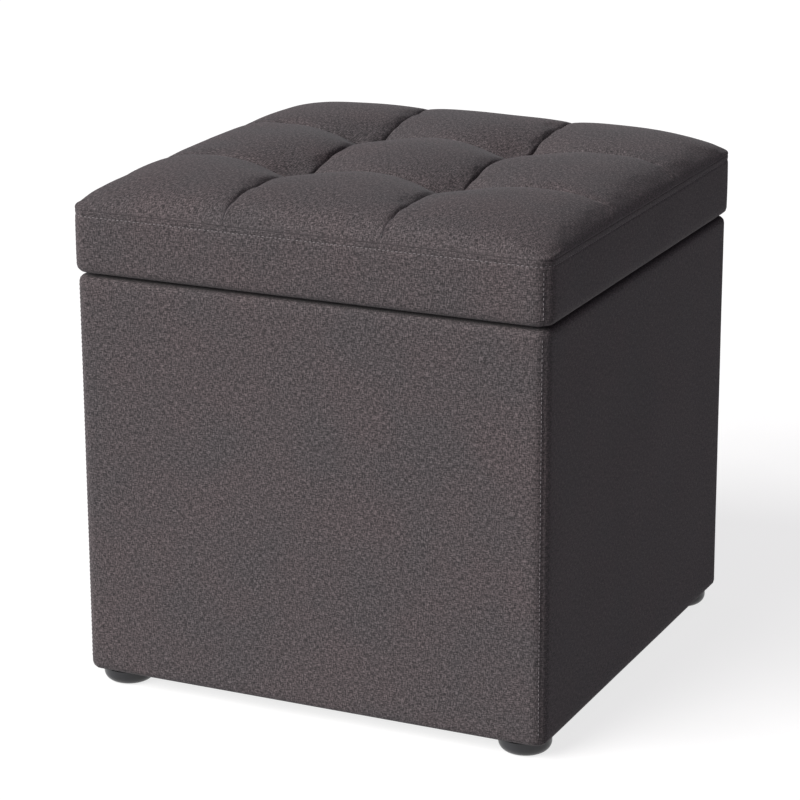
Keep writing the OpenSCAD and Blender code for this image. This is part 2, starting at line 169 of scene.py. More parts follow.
@dataclass(frozen=True)
class MelangeCloth(Surface):
    """Linen-look upholstery cloth: plain-woven polyester of mixed dark and light yarns.

    The eye sees a matt charcoal with fine cross-hatched specks, where single yarns run
    lighter or darker for a few millimetres, and a faint pale bloom at the edges.
    """

    name: str = "melange_cloth"
    roughness: float = 0.92
    ior: float = 1.45
    sheen: float = 0.08
    sheen_roughness: float = 0.45
    dark_yarn: str = "#1d1a1b"
    mid_yarn: str = "#433d3e"
    light_yarn: str = "#6d6465"
    grey_patch: str = "#f0f3f3"
    warm_patch: str = "#fffaf9"
    # The real yarns lie about 0.6 mm apart, too fine to show, so they are drawn wider.
    yarn: float = 0.85 * MM
    slub: float = 3.6 * MM
    fleck: float = 1.3 * MM
    fleck_share: float = 0.24
    relief: float = 0.32 * MM
    relief_share: float = 0.16
    patch: float = 55 * MM
    contrast: tuple[float, float, float] = (0.4, 0.5, 0.6)

    def yarns(self, tree: bpy.types.NodeTree, place: bpy.types.NodeSocket,
              across: int) -> bpy.types.NodeSocket:
        """Noise drawn out along one direction of the weave.

        Args:
            tree: the node tree.
            place: the point on the cloth, in metres along weft and warp.
            across: 0 where the yarns lie side by side along X, or 1 along Y.

        Returns:
            A value about 0.5 that changes quickly across the yarns and slowly along them.
        """
        scale = [1 / self.slub, 1 / self.slub, 1.0]
        scale[across] = 1 / self.yarn
        spread = add_node(tree, "ShaderNodeMapping", {"Vector": place, "Scale": scale})
        noise = add_node(tree, "ShaderNodeTexNoise", {
            "Vector": spread.outputs["Vector"], "Scale": 1.0, "Detail": 2.0, "Roughness": 0.6})
        return noise.outputs["Fac"]

    def build(self) -> bpy.types.Material:
        """Makes the material.

        Returns:
            The material.
        """
        material, tree, shader = self.start()
        place = add_node(tree, "ShaderNodeUVMap", uv_map=WEAVE_MAP).outputs["UV"]
        warp = self.yarns(tree, place, 0)
        weft = self.yarns(tree, place, 1)
        both = add_node(tree, "ShaderNodeMath", {0: warp, 1: weft}, operation="ADD").outputs[0]
        half = add_node(tree, "ShaderNodeMath", {0: both, 1: 0.5}, operation="MULTIPLY").outputs[0]
        fleck = add_node(tree, "ShaderNodeTexNoise", {
            "Vector": place, "Scale": 1 / self.fleck, "Detail": 2.0, "Roughness": 0.6})
        mixed = add_node(tree, "ShaderNodeMix", {
            "Factor": self.fleck_share, "A": half, "B": fleck.outputs["Fac"]}, data_type="FLOAT")
        tint = add_node(tree, "ShaderNodeValToRGB", {"Fac": mixed.outputs["Result"]}, stops=[
            (at, srgb(yarn)) for at, yarn in zip(
                self.contrast, (self.dark_yarn, self.mid_yarn, self.light_yarn))]).outputs["Color"]
        # Dye lots in the yarns and handling give slow patches of warmer and greyer shade.
        drift = add_node(tree, "ShaderNodeTexNoise", {
            "Vector": self.place(tree), "Scale": 1 / self.patch, "Detail": 3.0, "Roughness": 0.55})
        shade = add_node(tree, "ShaderNodeValToRGB", {"Fac": drift.outputs["Fac"]}, stops=[
            (0.35, srgb(self.grey_patch)), (0.65, srgb(self.warm_patch))]).outputs["Color"]
        shaded = add_node(tree, "ShaderNodeMix", {
            "Factor": 1.0, "A": tint, "B": shade}, data_type="RGBA", blend_type="MULTIPLY")
        self.dress(tree, shader, shaded.outputs["Result"], mixed.outputs["Result"], self.relief,
                   self.relief_share)
        return material


@dataclass(frozen=True)
class SewingThread(Surface):
    """Bonded polyester thread, a shade lighter than the cloth, with a soft twist to it."""

    name: str = "sewing_thread"
    roughness: float = 0.55
    ior: float = 1.5
    sheen: float = 0.1
    colour: str = "#6b6465"
    pale: str = "#868081"
    ply: float = 0.5 * MM
    relief: float = 0.1 * MM

    def build(self) -> bpy.types.Material:
        """Makes the material.

        Returns:
            The material.
        """
        material, tree, shader = self.start()
        place = self.place(tree)
        twist = add_node(tree, "ShaderNodeTexNoise", {
            "Vector": place, "Scale": 1 / self.ply, "Detail": 1.0})
        tint = add_node(tree, "ShaderNodeValToRGB", {"Fac": twist.outputs["Fac"]}, stops=[
            (0.35, srgb(self.colour)), (0.65, srgb(self.pale))]).outputs["Color"]
        self.dress(tree, shader, tint, twist.outputs["Fac"], self.relief)
        return material


@dataclass(frozen=True)
class SpunbondCloth(Surface):
    """Black spunbond polypropylene: a thin non-woven, pressed with a grid of bond points.

    The eye sees dull black cloth with fine bright fibres and rows of small dimples.
    """

    name: str = "spunbond_cloth"
    roughness: float = 0.8
    ior: float = 1.49
    sheen: float = 0.12
    dark: str = "#161618"
    fibre: str = "#2c2c2f"
    # Real bond points lie about 1 mm apart, too fine to show, so they are drawn wider.
    bond: float = 2.2 * MM
    fibre_size: float = 1.2 * MM
    relief: float = 0.25 * MM

    def build(self) -> bpy.types.Material:
        """Makes the material.

        Returns:
            The material.
        """
        material, tree, shader = self.start()
        place = self.place(tree)
        dots = add_node(tree, "ShaderNodeTexVoronoi", {
            "Vector": place, "Scale": 1 / self.bond, "Randomness": 0.15})
        dimple = add_node(tree, "ShaderNodeMapRange", {
            "Value": dots.outputs["Distance"], "From Min": 0.18, "From Max": 0.42})
        fibres = add_node(tree, "ShaderNodeTexNoise", {
            "Vector": place, "Scale": 1 / self.fibre_size,
            "Detail": 4.0, "Roughness": 0.75, "Distortion": 1.5})
        tint = add_node(tree, "ShaderNodeValToRGB", {"Fac": fibres.outputs["Fac"]}, stops=[
            (0.4, srgb(self.dark)), (0.68, srgb(self.fibre))]).outputs["Color"]
        self.dress(tree, shader, tint, dimple.outputs["Result"], self.relief, 0.7)
        return material


@dataclass(frozen=True)
class MouldedPlastic(Surface):
    """Injection-moulded polypropylene: satin, with the faint orange peel of its mould."""

    name: str = "moulded_plastic"
    roughness: float = 0.32
    ior: float = 1.49
    colour: str = "#151518"
    worn: str = "#26262a"
    haze_size: float = 14 * MM
    peel_size: float = 0.9 * MM
    relief: float = 0.05 * MM

    def build(self) -> bpy.types.Material:
        """Makes the material.

        Returns:
            The material.
        """
        material, tree, shader = self.start()
        place = self.place(tree)
        haze = add_node(tree, "ShaderNodeTexNoise", {
            "Vector": place, "Scale": 1 / self.haze_size, "Detail": 4.0})
        tint = add_node(tree, "ShaderNodeValToRGB", {"Fac": haze.outputs["Fac"]}, stops=[
            (0.4, srgb(self.colour)), (0.75, srgb(self.worn))]).outputs["Color"]
        peel = add_node(tree, "ShaderNodeTexNoise", {
            "Vector": place, "Scale": 1 / self.peel_size, "Detail": 2.0})
        self.dress(tree, shader, tint, peel.outputs["Fac"], self.relief, 0.5)
        return material


@dataclass(frozen=True)
class ZincPlate(Surface):
    """Zinc-plated pressed steel: bright, slightly blue-grey, with a rolled grain."""

    name: str = "zinc_plate"
    roughness: float = 0.34
    metallic: float = 1.0
    bright: str = "#c4c8cc"
    dull: str = "#9a9da3"
    # The rolled grain is far finer, and is drawn coarse enough to show.
    grain: float = 0.8 * MM
    stretch: float = 0.08
    cloud_size: float = 11 * MM
    relief: float = 0.03 * MM

    def build(self) -> bpy.types.Material:
        """Makes the material.

        Returns:
            The material.
        """
        material, tree, shader = self.start()
        place = self.place(tree)
        stretch = add_node(tree, "ShaderNodeMapping", {
            "Vector": place, "Scale": (self.stretch / self.grain, 1 / self.grain, 1 / self.grain)})
        rolled = add_node(tree, "ShaderNodeTexNoise", {
            "Vector": stretch.outputs["Vector"], "Scale": 1.0, "Detail": 3.0})
        cloud = add_node(tree, "ShaderNodeTexNoise", {
            "Vector": place, "Scale": 1 / self.cloud_size, "Detail": 3.0})
        tint = add_node(tree, "ShaderNodeValToRGB", {"Fac": cloud.outputs["Fac"]}, stops=[
            (0.35, srgb(self.dull)), (0.62, srgb(self.bright))]).outputs["Color"]
        self.dress(tree, shader, tint, rolled.outputs["Fac"], self.relief, 0.5)
        return material


@dataclass(frozen=True)
class Fibreboard(Surface):
    """Raw medium-density fibreboard: even tan, with fine dark fibres and a dry face."""

    name: str = "fibreboard"
    roughness: float = 0.78
    ior: float = 1.5
    base: str = "#b08f66"
    fibre: str = "#8b6a45"
    fibre_size: float = 2.5 * MM
    relief: float = 0.08 * MM

    def build(self) -> bpy.types.Material:
        """Makes the material.

        Returns:
            The material.
        """
        material, tree, shader = self.start()
        place = self.place(tree)
        fibres = add_node(tree, "ShaderNodeTexNoise", {
            "Vector": place, "Scale": 1 / self.fibre_size,
            "Detail": 6.0, "Roughness": 0.7, "Distortion": 0.8})
        tint = add_node(tree, "ShaderNodeValToRGB", {"Fac": fibres.outputs["Fac"]}, stops=[
            (0.38, srgb(self.fibre)), (0.6, srgb(self.base))]).outputs["Color"]
        self.dress(tree, shader, tint, fibres.outputs["Fac"], self.relief, 0.6)
        return material


@dataclass(frozen=True)
class PlanedPine(Surface):
    """Planed pine batten: pale, with darker growth rings drawn out along its length."""

    name: str = "planed_pine"
    roughness: float = 0.6
    ior: float = 1.5
    early: str = "#d9b27c"
    late: str = "#a8743f"
    ring: float = 4.0 * MM
    relief: float = 0.06 * MM

    def build(self) -> bpy.types.Material:
        """Makes the material.

        Returns:
            The material.
        """
        material, tree, shader = self.start()
        place = self.place(tree)
        rings = add_node(tree, "ShaderNodeTexWave", {
            "Vector": place, "Scale": WAVE_LENGTH / self.ring, "Distortion": 3.0, "Detail": 3.0,
            "Detail Scale": 0.6}, wave_type="RINGS", rings_direction="Z")
        tint = add_node(tree, "ShaderNodeValToRGB", {"Fac": rings.outputs["Color"]}, stops=[
            (0.15, srgb(self.early)), (0.9, srgb(self.late))]).outputs["Color"]
        self.dress(tree, shader, tint, rings.outputs["Fac"], self.relief, 0.5)
        return material


@dataclass(frozen=True)
class CutFoam(Surface):
    """Open-cell polyurethane foam, cut from the block: cream, with fine open pores darkened by painted
    shade.
    """

    name: str = "cut_foam"
    roughness: float = 0.95
    ior: float = 1.45
    cell: str = "#e6dcbf"
    pore_shade: str = "#b9ad8b"
    # Real cells are about 0.6 mm across, too fine to show, so they are drawn wider.
    cell_size: float = 1.1 * MM
    relief: float = 0.3 * MM

    def build(self) -> bpy.types.Material:
        """Makes the material.

        Returns:
            The material.
        """
        material, tree, shader = self.start()
        place = self.place(tree)
        pores = add_node(tree, "ShaderNodeTexVoronoi", {"Vector": place, "Scale": 1 / self.cell_size})
        # The pore colour falls where the bumps sink into pits: it is painted shade inside the pores.
        tint = add_node(tree, "ShaderNodeValToRGB", {"Fac": pores.outputs["Distance"]}, stops=[
            (0.15, srgb(self.pore_shade)), (0.5, srgb(self.cell))]).outputs["Color"]
        self.dress(tree, shader, tint, pores.outputs["Distance"], self.relief)
        return material


@dataclass(frozen=True)
class WaxedTwine(Surface):
    """Waxed nylon tufting twine: ivory, with a tight diagonal lay whose grooves are darkened by painted
    shade.
    """

    name: str = "waxed_twine"
    roughness: float = 0.45
    ior: float = 1.53
    pale: str = "#d9d0bb"
    deep: str = "#a99d83"
    lay: float = 1.2 * MM
    relief: float = 0.1 * MM

    def build(self) -> bpy.types.Material:
        """Makes the material.

        Returns:
            The material.
        """
        material, tree, shader = self.start()
        place = self.place(tree)
        lay = add_node(tree, "ShaderNodeTexWave", {
            "Vector": place, "Scale": WAVE_LENGTH / self.lay, "Distortion": 0.5},
            wave_type="BANDS", bands_direction="DIAGONAL")
        # The deep colour follows the low parts of the lay's relief: it is painted shade in its grooves.
        tint = add_node(tree, "ShaderNodeValToRGB", {"Fac": lay.outputs["Color"]}, stops=[
            (0.2, srgb(self.deep)), (0.8, srgb(self.pale))]).outputs["Color"]
        self.dress(tree, shader, tint, lay.outputs["Fac"], self.relief)
        return material


@dataclass(frozen=True)
class StudioFloor(Surface):
    """Matt painted studio floor: pale and even, with a trace of roller texture."""

    name: str = "studio_floor"
    roughness: float = 0.9
    pale: str = "#9a9998"
    deep: str = "#949392"
    glow: float = 0.76
    roller: float = 1 / 6

    def build(self) -> bpy.types.Material:
        """Makes the material.

        Returns:
            The material.
        """
        material, tree, shader = self.start()
        place = self.place(tree)
        roller = add_node(tree, "ShaderNodeTexNoise", {
            "Vector": place, "Scale": 1 / self.roller, "Detail": 3.0})
        tint = add_node(tree, "ShaderNodeValToRGB", {"Fac": roller.outputs["Fac"]}, stops=[
            (0.4, srgb(self.deep)), (0.6, srgb(self.pale))]).outputs["Color"]
        tree.links.new(tint, shader.inputs["Base Color"])
        shader.inputs["Emission Color"].default_value = (1.0, 1.0, 1.0, 1.0)
        shader.inputs["Emission Strength"].default_value = self.glow
        return material


class Finish(Enum):
    """The finishes of the ottoman, each built once."""

    CLOTH = MelangeCloth()
    THREAD = SewingThread()
    # The seam thread is darker than the cloth: it stands for the lid's seams and paints the shade in the
    # creases along them.
    SEAM_THREAD = SewingThread(name="seam_thread_painted_shade", colour="#2c282a", pale="#393436", sheen=0.0)
    LINING = SpunbondCloth()
    FOOT = MouldedPlastic()
    WASHER = MouldedPlastic(name="natural_plastic", colour="#b9b5aa", worn="#cfcbc0", roughness=0.4)
    STEEL = ZincPlate()
    BOARD = Fibreboard()
    PINE = PlanedPine()
    FOAM = CutFoam()
    TWINE = WaxedTwine()
    FLOOR = StudioFloor()

    def material(self) -> bpy.types.Material:
        """The finish's material, made on first use."""
        return bpy.data.materials.get(self.value.name) or self.value.build()


# ---------------------------------------------------------------- plans, sections and meshes


@dataclass(frozen=True)
class RoundedPlan:
    """A rectangle with round corners, seen from above."""

    half_x: float
    half_y: float
    radius: float

    def grown(self, by: float) -> "RoundedPlan":
        """The same outline moved outwards, or inwards where the distance is negative."""
        return RoundedPlan(self.half_x + by, self.half_y + by, max(self.radius + by, 0.2 * MM))

    def reach(self, angles: np.ndarray) -> np.ndarray:
        """How far the outline is from the middle in each direction.

        Args:
            angles: directions in radians, from +X towards +Y.

        Returns:
            The distance in metres for each direction.
        """
        c, s = np.abs(np.cos(angles)), np.abs(np.sin(angles))
        flat = np.minimum(self.half_x / np.maximum(c, 1e-9), self.half_y / np.maximum(s, 1e-9))
        cx, cy = self.half_x - self.radius, self.half_y - self.radius
        along = c * cx + s * cy
        inside = along**2 - (cx**2 + cy**2 - self.radius**2)
        bent = along + np.sqrt(np.maximum(inside, 0))
        in_corner = (flat * c > cx) & (flat * s > cy) & (inside > 0)
        return np.where(in_corner, bent, flat)

    def directions(self, step: float, corner_steps: int) -> np.ndarray:
        """Directions that sample a square outline evenly, and closely round its corners.

        Args:
            step: the spacing along the straight sides.
            corner_steps: how many pieces each corner is cut into.

        Returns:
            The directions in radians, rising from just above 0.
        """
        cx, cy = self.half_x - self.radius, self.half_y - self.radius
        quarter = []
        for t in np.linspace(0, cy, max(2, round(cy / step)), endpoint=False):
            quarter.append(math.atan2(t, self.half_x))
        for t in np.linspace(0, math.pi / 2, corner_steps + 1):
            quarter.append(math.atan2(cy + self.radius * math.sin(t), cx + self.radius * math.cos(t)))
        for t in np.linspace(cx, 0, max(2, round(cx / step)), endpoint=False)[1:]:
            quarter.append(math.atan2(self.half_y, t))
        first = np.array(quarter)
        return np.concatenate([first + k * math.pi / 2 for k in range(4)])


@dataclass(frozen=True)
class MouthPlan:
    """The storage room's outline: a rectangle, notched by corner posts and a back rail."""

    half_x: float
    half_y: float
    notch: float
    rail: float = 0.0

    def grown(self, by: float) -> "MouthPlan":
        """The same outline moved outwards, or inwards where the distance is negative."""
        return MouthPlan(self.half_x + by, self.half_y + by, self.notch, self.rail)

    def reach(self, angles: np.ndarray) -> np.ndarray:
        """How far the outline is from the middle in each direction.

        Args:
            angles: directions in radians, from +X towards +Y.

        Returns:
            The distance in metres for each direction.
        """
        c, s = np.cos(angles), np.sin(angles)
        back = self.half_y - self.rail
        wall_y = np.where(s > 0, back, self.half_y)
        c, s = np.maximum(np.abs(c), 1e-9), np.maximum(np.abs(s), 1e-9)
        far = np.minimum(self.half_x / c, wall_y / s)
        post_x = self.half_x - self.notch
        post_y = self.half_y - self.notch
        enter = np.maximum(post_x / c, post_y / s)
        return np.minimum(far, enter)

    def corners(self) -> list[float]:
        """The directions of the notches' corners.

        Returns:
            The directions in radians.
        """
        post_x, post_y = self.half_x - self.notch, self.half_y - self.notch
        angles = []
        for sy, wall in ((1, self.half_y - self.rail), (-1, self.half_y)):
            for x, y in ((self.half_x, post_y), (post_x, post_y), (post_x, wall)):
                angles += [math.atan2(sy * y, sx * x) % (2 * math.pi) for sx in (1, -1)]
        return angles


Plan = RoundedPlan | MouthPlan


def bent_path(points: Sequence[tuple[float, float, float]], step: float) -> np.ndarray:
    """A path through corner points, with each corner rounded by an arc.

    Args:
        points: distance inwards, height and corner radius of each corner, in metres.
        step: the longest spacing of the points along the path.

    Returns:
        The path's points, one row of inward distance and height each.
    """
    spots = [np.array(p[:2]) for p in points]
    out = [spots[0]]
    for before, here, after, (_, _, radius) in zip(spots, spots[1:], spots[2:], points[1:]):
        a, b = before - here, after - here
        a, b = a / np.linalg.norm(a), b / np.linalg.norm(b)
        half = math.acos(float(np.clip(a @ b, -1, 1))) / 2
        if radius <= 0 or half > 0.499 * math.pi:
            out.append(here)
            continue
        start, end = here + a * radius / math.tan(half), here + b * radius / math.tan(half)
        middle = here + (a + b) / np.linalg.norm(a + b) * radius / math.sin(half)
        first, last = start - middle, end - middle
        turn = math.acos(float(np.clip(first @ last / radius**2, -1, 1)))
        for t in np.linspace(0, 1, max(4, math.ceil(radius * turn / step) + 2)):
            w0 = math.sin((1 - t) * turn) / math.sin(turn)
            w1 = math.sin(t * turn) / math.sin(turn)
            out.append(middle + first * w0 + last * w1)
    out.append(spots[-1])
    filled = [out[0]]
    for p in out[1:]:
        n = max(1, math.ceil(float(np.linalg.norm(p - filled[-1])) / step))
        start = filled[-1]
        filled += [start + (p - start) * k / n for k in range(1, n + 1)]
    return np.array(filled)


def make_object(name: str, points: np.ndarray, faces: Sequence[Sequence[int]], finish: Finish,
                weave: np.ndarray | None = None) -> bpy.types.Object:
    """Makes a smooth-shaded mesh object.

    Args:
        name: the piece's name.
        points: its vertices.
        faces: its faces, as vertex numbers.
        finish: what it is made of.
        weave: the cloth's place at each vertex, in metres along weft and warp.

    Returns:
        The object, linked to the scene.
    """
    mesh = bpy.data.meshes.new(name)
    mesh.from_pydata([tuple(map(float, p)) for p in points], [], [tuple(map(int, f)) for f in faces])
    mesh.polygons.foreach_set("use_smooth", [True] * len(mesh.polygons))
    if weave is not None:
        layer = mesh.uv_layers.new(name=WEAVE_MAP)
        index = np.zeros(len(mesh.loops), np.int32)
        mesh.loops.foreach_get("vertex_index", index)
        layer.uv.foreach_set("vector", weave[index].astype(np.float32).ravel())
    mesh.materials.append(finish.material())
    mesh.validate()
    mesh.update()
    obj = bpy.data.objects.new(name, mesh)
    bpy.context.scene.collection.objects.link(obj)
    return obj


def ring_faces(rings: int, around: int, closed: bool) -> list[tuple[int, int, int, int]]:
    """Quads between rings of points.

    Args:
        rings: how many rings there are.
        around: how many points each ring has.
        closed: whether the last ring joins the first.

    Returns:
        The faces, facing outwards where the rings run anticlockwise and the path turns left.
    """
    faces = []
    for i in range(rings if closed else rings - 1):
        j = (i + 1) % rings
        for k in range(around):
            m = (k + 1) % around
            faces.append((i * around + k, i * around + m, j * around + m, j * around + k))
    return faces


def ripple(a: np.ndarray, b: np.ndarray, seed: float, length: float) -> np.ndarray:
    """Smooth, even undulation from a few crossed waves, from about -1 to 1.

    Args:
        a: place along the cloth, in metres.
        b: place across the cloth, in metres.
        seed: shifts the pattern.
        length: the longest wave, in metres.

    Returns:
        The height at each place.
    """
    total = np.zeros_like(a)
    for n in range(1, 6):
        turn = seed * 1.7 + n * 2.399
        k = 2 * math.pi * n**0.8 / length
        total += np.sin(k * (a * math.cos(turn) + b * math.sin(turn)) + seed * n * 3.1) / n**0.7
    return total / 2.2


def dome_profile(reach: np.ndarray, width: float, power: float) -> np.ndarray:
    """Rises from 0 at the edge to 1, steeply at first, over a width."""
    inside = 1 - np.clip(reach / width, 0, 1)
    return (1 - inside**power) ** (1 / power)


# ---------------------------------------------------------------- lofts, threads and sheets


@dataclass
class Loft:
    """A closed ring of cloth or padding, built from level rings round the middle.

    Each ring is a distance from the middle for every direction, and a height for every
    direction, and the path of rings comes back to where it began.
    """

    angles: np.ndarray
    rings: list[np.ndarray] = field(default_factory=list)
    heights: list[np.ndarray] = field(default_factory=list)

    def add(self, reach: np.ndarray, height: np.ndarray | float) -> None:
        """Adds one ring."""
        self.rings.append(np.asarray(reach, float))
        self.heights.append(np.broadcast_to(np.asarray(height, float), self.angles.shape).copy())

    def add_between(self, reach: np.ndarray, height: float, steps: int) -> None:
        """Adds rings that change evenly from the last ring to a new one.

        Args:
            reach: the new ring's distance from the middle for each direction.
            height: the new ring's height.
            steps: how many rings to add, the new one included.
        """
        start, low = self.rings[-1], self.heights[-1]
        for k in range(1, steps + 1):
            t = k / steps
            self.add(start + (reach - start) * t, low + (height - low) * t)

    def points(self) -> np.ndarray:
        """The rings' points, one array of X, Y and Z for each ring."""
        r, z = np.array(self.rings), np.array(self.heights)
        return np.stack([r * np.cos(self.angles), r * np.sin(self.angles), z], axis=2)

    def build(self, name: str, finish: Finish, around: np.ndarray) -> bpy.types.Object:
        """Makes the piece.

        Args:
            name: the piece's name.
            finish: what it is made of.
            around: the distance along the outline at each direction, for the weave.

        Returns:
            The object.
        """
        points = self.points()
        rings, n = points.shape[:2]
        along = np.linalg.norm(np.diff(points, axis=0), axis=2).mean(axis=1)
        down = np.concatenate([[0], np.cumsum(along)])
        weave = np.stack([np.broadcast_to(around, (rings, n)),
                          np.broadcast_to(down[:, None], (rings, n))], axis=2)
        obj = make_object(name, points.reshape(-1, 3), ring_faces(rings, n, True), finish,
                          weave.reshape(-1, 2))
        close_weave(obj, float(around[-1] + around[1] - around[0]))
        return obj


def close_weave(obj: bpy.types.Object, length: float) -> None:
    """Lets the weave run on where the outline closes, instead of running back.

    Args:
        obj: the piece, whose outline starts and ends at one direction.
        length: the whole outline's length.
    """
    mesh, layer = obj.data, obj.data.uv_layers[WEAVE_MAP]
    flat = np.zeros(len(mesh.loops) * 2, np.float32)
    layer.uv.foreach_get("vector", flat)
    uv = flat.reshape(-1, 2)
    for face in mesh.polygons:
        loops = list(face.loop_indices)
        across = uv[loops, 0]
        if across.max() - across.min() > length / 2:
            uv[loops, 0] = np.where(across < length / 2, across + length, across)
    layer.uv.foreach_set("vector", uv.ravel())


def outline_length(plan: Plan, angles: np.ndarray) -> np.ndarray:
    """The distance along an outline at each direction, from the first direction.

    Args:
        plan: the outline.
        angles: the directions in radians, in order.

    Returns:
        The distance in metres for each direction.
    """
    r = plan.reach(angles)
    points = np.stack([r * np.cos(angles), r * np.sin(angles)], axis=1)
    return np.concatenate([[0], np.cumsum(np.linalg.norm(np.diff(points, axis=0), axis=1))])


def corner_distance(plan: RoundedPlan, angles: np.ndarray) -> np.ndarray:
    """How far along the outline each direction is from the middle of its nearest corner.

    Args:
        plan: the outline.
        angles: the directions in radians.

    Returns:
        The distance in metres for each direction, or 1 where it is longer.
    """
    corner = math.atan2(plan.half_y, plan.half_x)
    quarter = np.abs((angles + math.pi) % (2 * math.pi) - math.pi)
    quarter = np.where(quarter > math.pi / 2, math.pi - quarter, quarter)
    straight = np.abs(np.where(quarter < corner, (plan.half_y - plan.half_x * np.tan(quarter)),
                               plan.half_x - plan.half_y / np.tan(np.maximum(quarter, 1e-6))))
    return np.minimum(straight, 1.0)


@dataclass(frozen=True)
class Thread:
    """Sewing thread that shows as a row of short stitches or as one line along a seam."""

    radius: float = 0.27 * MM
    pitch: float = 3.6 * MM
    length: float = 2.5 * MM
    sides: int = 6

    def tube(self, path: np.ndarray, normals: np.ndarray,
             radii: Sequence[float]) -> tuple[np.ndarray, list]:
        """A closed tube along a path.

        Args:
            path: the path's points.
            normals: the cloth's normal at each point.
            radii: the tube's radius at each point.

        Returns:
            Its points and faces.
        """
        forward = np.gradient(path, axis=0)
        forward /= np.linalg.norm(forward, axis=1, keepdims=True)
        side = np.cross(forward, normals)
        side /= np.linalg.norm(side, axis=1, keepdims=True)
        up = np.cross(side, forward)
        turn = np.linspace(0, 2 * math.pi, self.sides, endpoint=False)
        circle = np.cos(turn)[None, :, None] * side[:, None] \
            + np.sin(turn)[None, :, None] * up[:, None]
        rings = path[:, None] + circle * np.asarray(radii, float)[:, None, None]
        points = np.concatenate([rings.reshape(-1, 3), path[:1], path[-1:]])
        n, last = self.sides, (len(path) - 1) * self.sides
        faces = [tuple(reversed(f)) for f in ring_faces(len(path), n, False)]
        start, end = len(path) * n, len(path) * n + 1
        for k in range(n):
            faces.append((start, k, (k + 1) % n))
            faces.append((end, last + (k + 1) % n, last + k))
        return points, faces

    def stitches(self, path: np.ndarray, normals: np.ndarray) -> tuple[np.ndarray, list]:
        """A row of stitches along a path, each dipping into the cloth at both ends.

        Args:
            path: points on the cloth's surface, closely spaced.
            normals: the cloth's normal at each point.

        Returns:
            The row's points and faces.
        """
        run = np.concatenate([[0], np.cumsum(np.linalg.norm(np.diff(path, axis=0), axis=1))])
        count = max(1, int(run[-1] / self.pitch))
        lift = np.array([-1.2, 0.1, 0.35, 0.1, -1.2]) * self.radius
        points, faces, used = [], [], 0
        for k in range(count):
            middle = (k + 0.5) * run[-1] / count
            at = middle + np.array([-0.5, -0.3, 0, 0.3, 0.5]) * self.length
            spots = np.stack([np.interp(at, run, path[:, i]) for i in range(3)], axis=1)
            up = np.stack([np.interp(at, run, normals[:, i]) for i in range(3)], axis=1)
            taper = [self.radius * share for share in (0.55, 1, 1, 1, 0.55)]
            p, f = self.tube(spots + up * lift[:, None], up, taper)
            points.append(p)
            faces += [tuple(v + used for v in face) for face in f]
            used += len(p)
        return np.concatenate(points), faces


def join_parts(parts: Iterable[tuple[np.ndarray, list]]) -> tuple[np.ndarray, list]:
    """Puts several sets of points and faces into one.

    Args:
        parts: the sets, each with its own vertex numbers.

    Returns:
        All the points, and the faces numbered to match.
    """
    points, faces, used = [], [], 0
    for p, f in parts:
        points.append(p)
        faces += [tuple(v + used for v in face) for face in f]
        used += len(p)
    return np.concatenate(points), faces


def cloth_disc(name: str, plan: Plan, low: float, high: float, wave: float, seed: float,
               finish: Finish, extra: Sequence[float] = ()) -> bpy.types.Object:
    """A flat closed sheet of cloth with a given outline, slightly uneven on both faces.

    Args:
        name: the piece's name.
        plan: its outline.
        low: the height of its lower face.
        high: the height of its upper face.
        wave: how far its middle waves, in metres.
        seed: shifts the waves.
        finish: what it is made of.
        extra: directions that its outline's corners need.

    Returns:
        The object.
    """
    angles = np.unique(np.round(np.concatenate([
        np.linspace(0, 2 * math.pi, 144, endpoint=False), np.asarray(extra, float)]), 6))
    edge = plan.reach(angles)
    shares = [*np.linspace(0.06, 0.9, 15), 0.94, 0.97, 0.99, 1.0]
    loft = Loft(angles)
    for height, order in ((high, shares), (low, shares[::-1])):
        for share in order:
            reach = edge * share
            x, y = reach * np.cos(angles), reach * np.sin(angles)
            loft.add(reach, height + wave * (1 - share**6) * ripple(x, y, seed, 0.17))
    points = loft.points().reshape(-1, 3)
    n = len(angles)
    faces = [tuple(reversed(f)) for f in ring_faces(2 * len(shares), n, False)]
    top, bottom = len(points), len(points) + 1
    last = (2 * len(shares) - 1) * n
    points = np.concatenate([points, [[0, 0, points[:n, 2].mean()], [0, 0, points[last:, 2].mean()]]])
    for k in range(n):
        faces.append((top, k, (k + 1) % n))
        faces.append((bottom, last + (k + 1) % n, last + k))
    return make_object(name, points, faces, finish)


# ---------------------------------------------------------------- the upholstered body


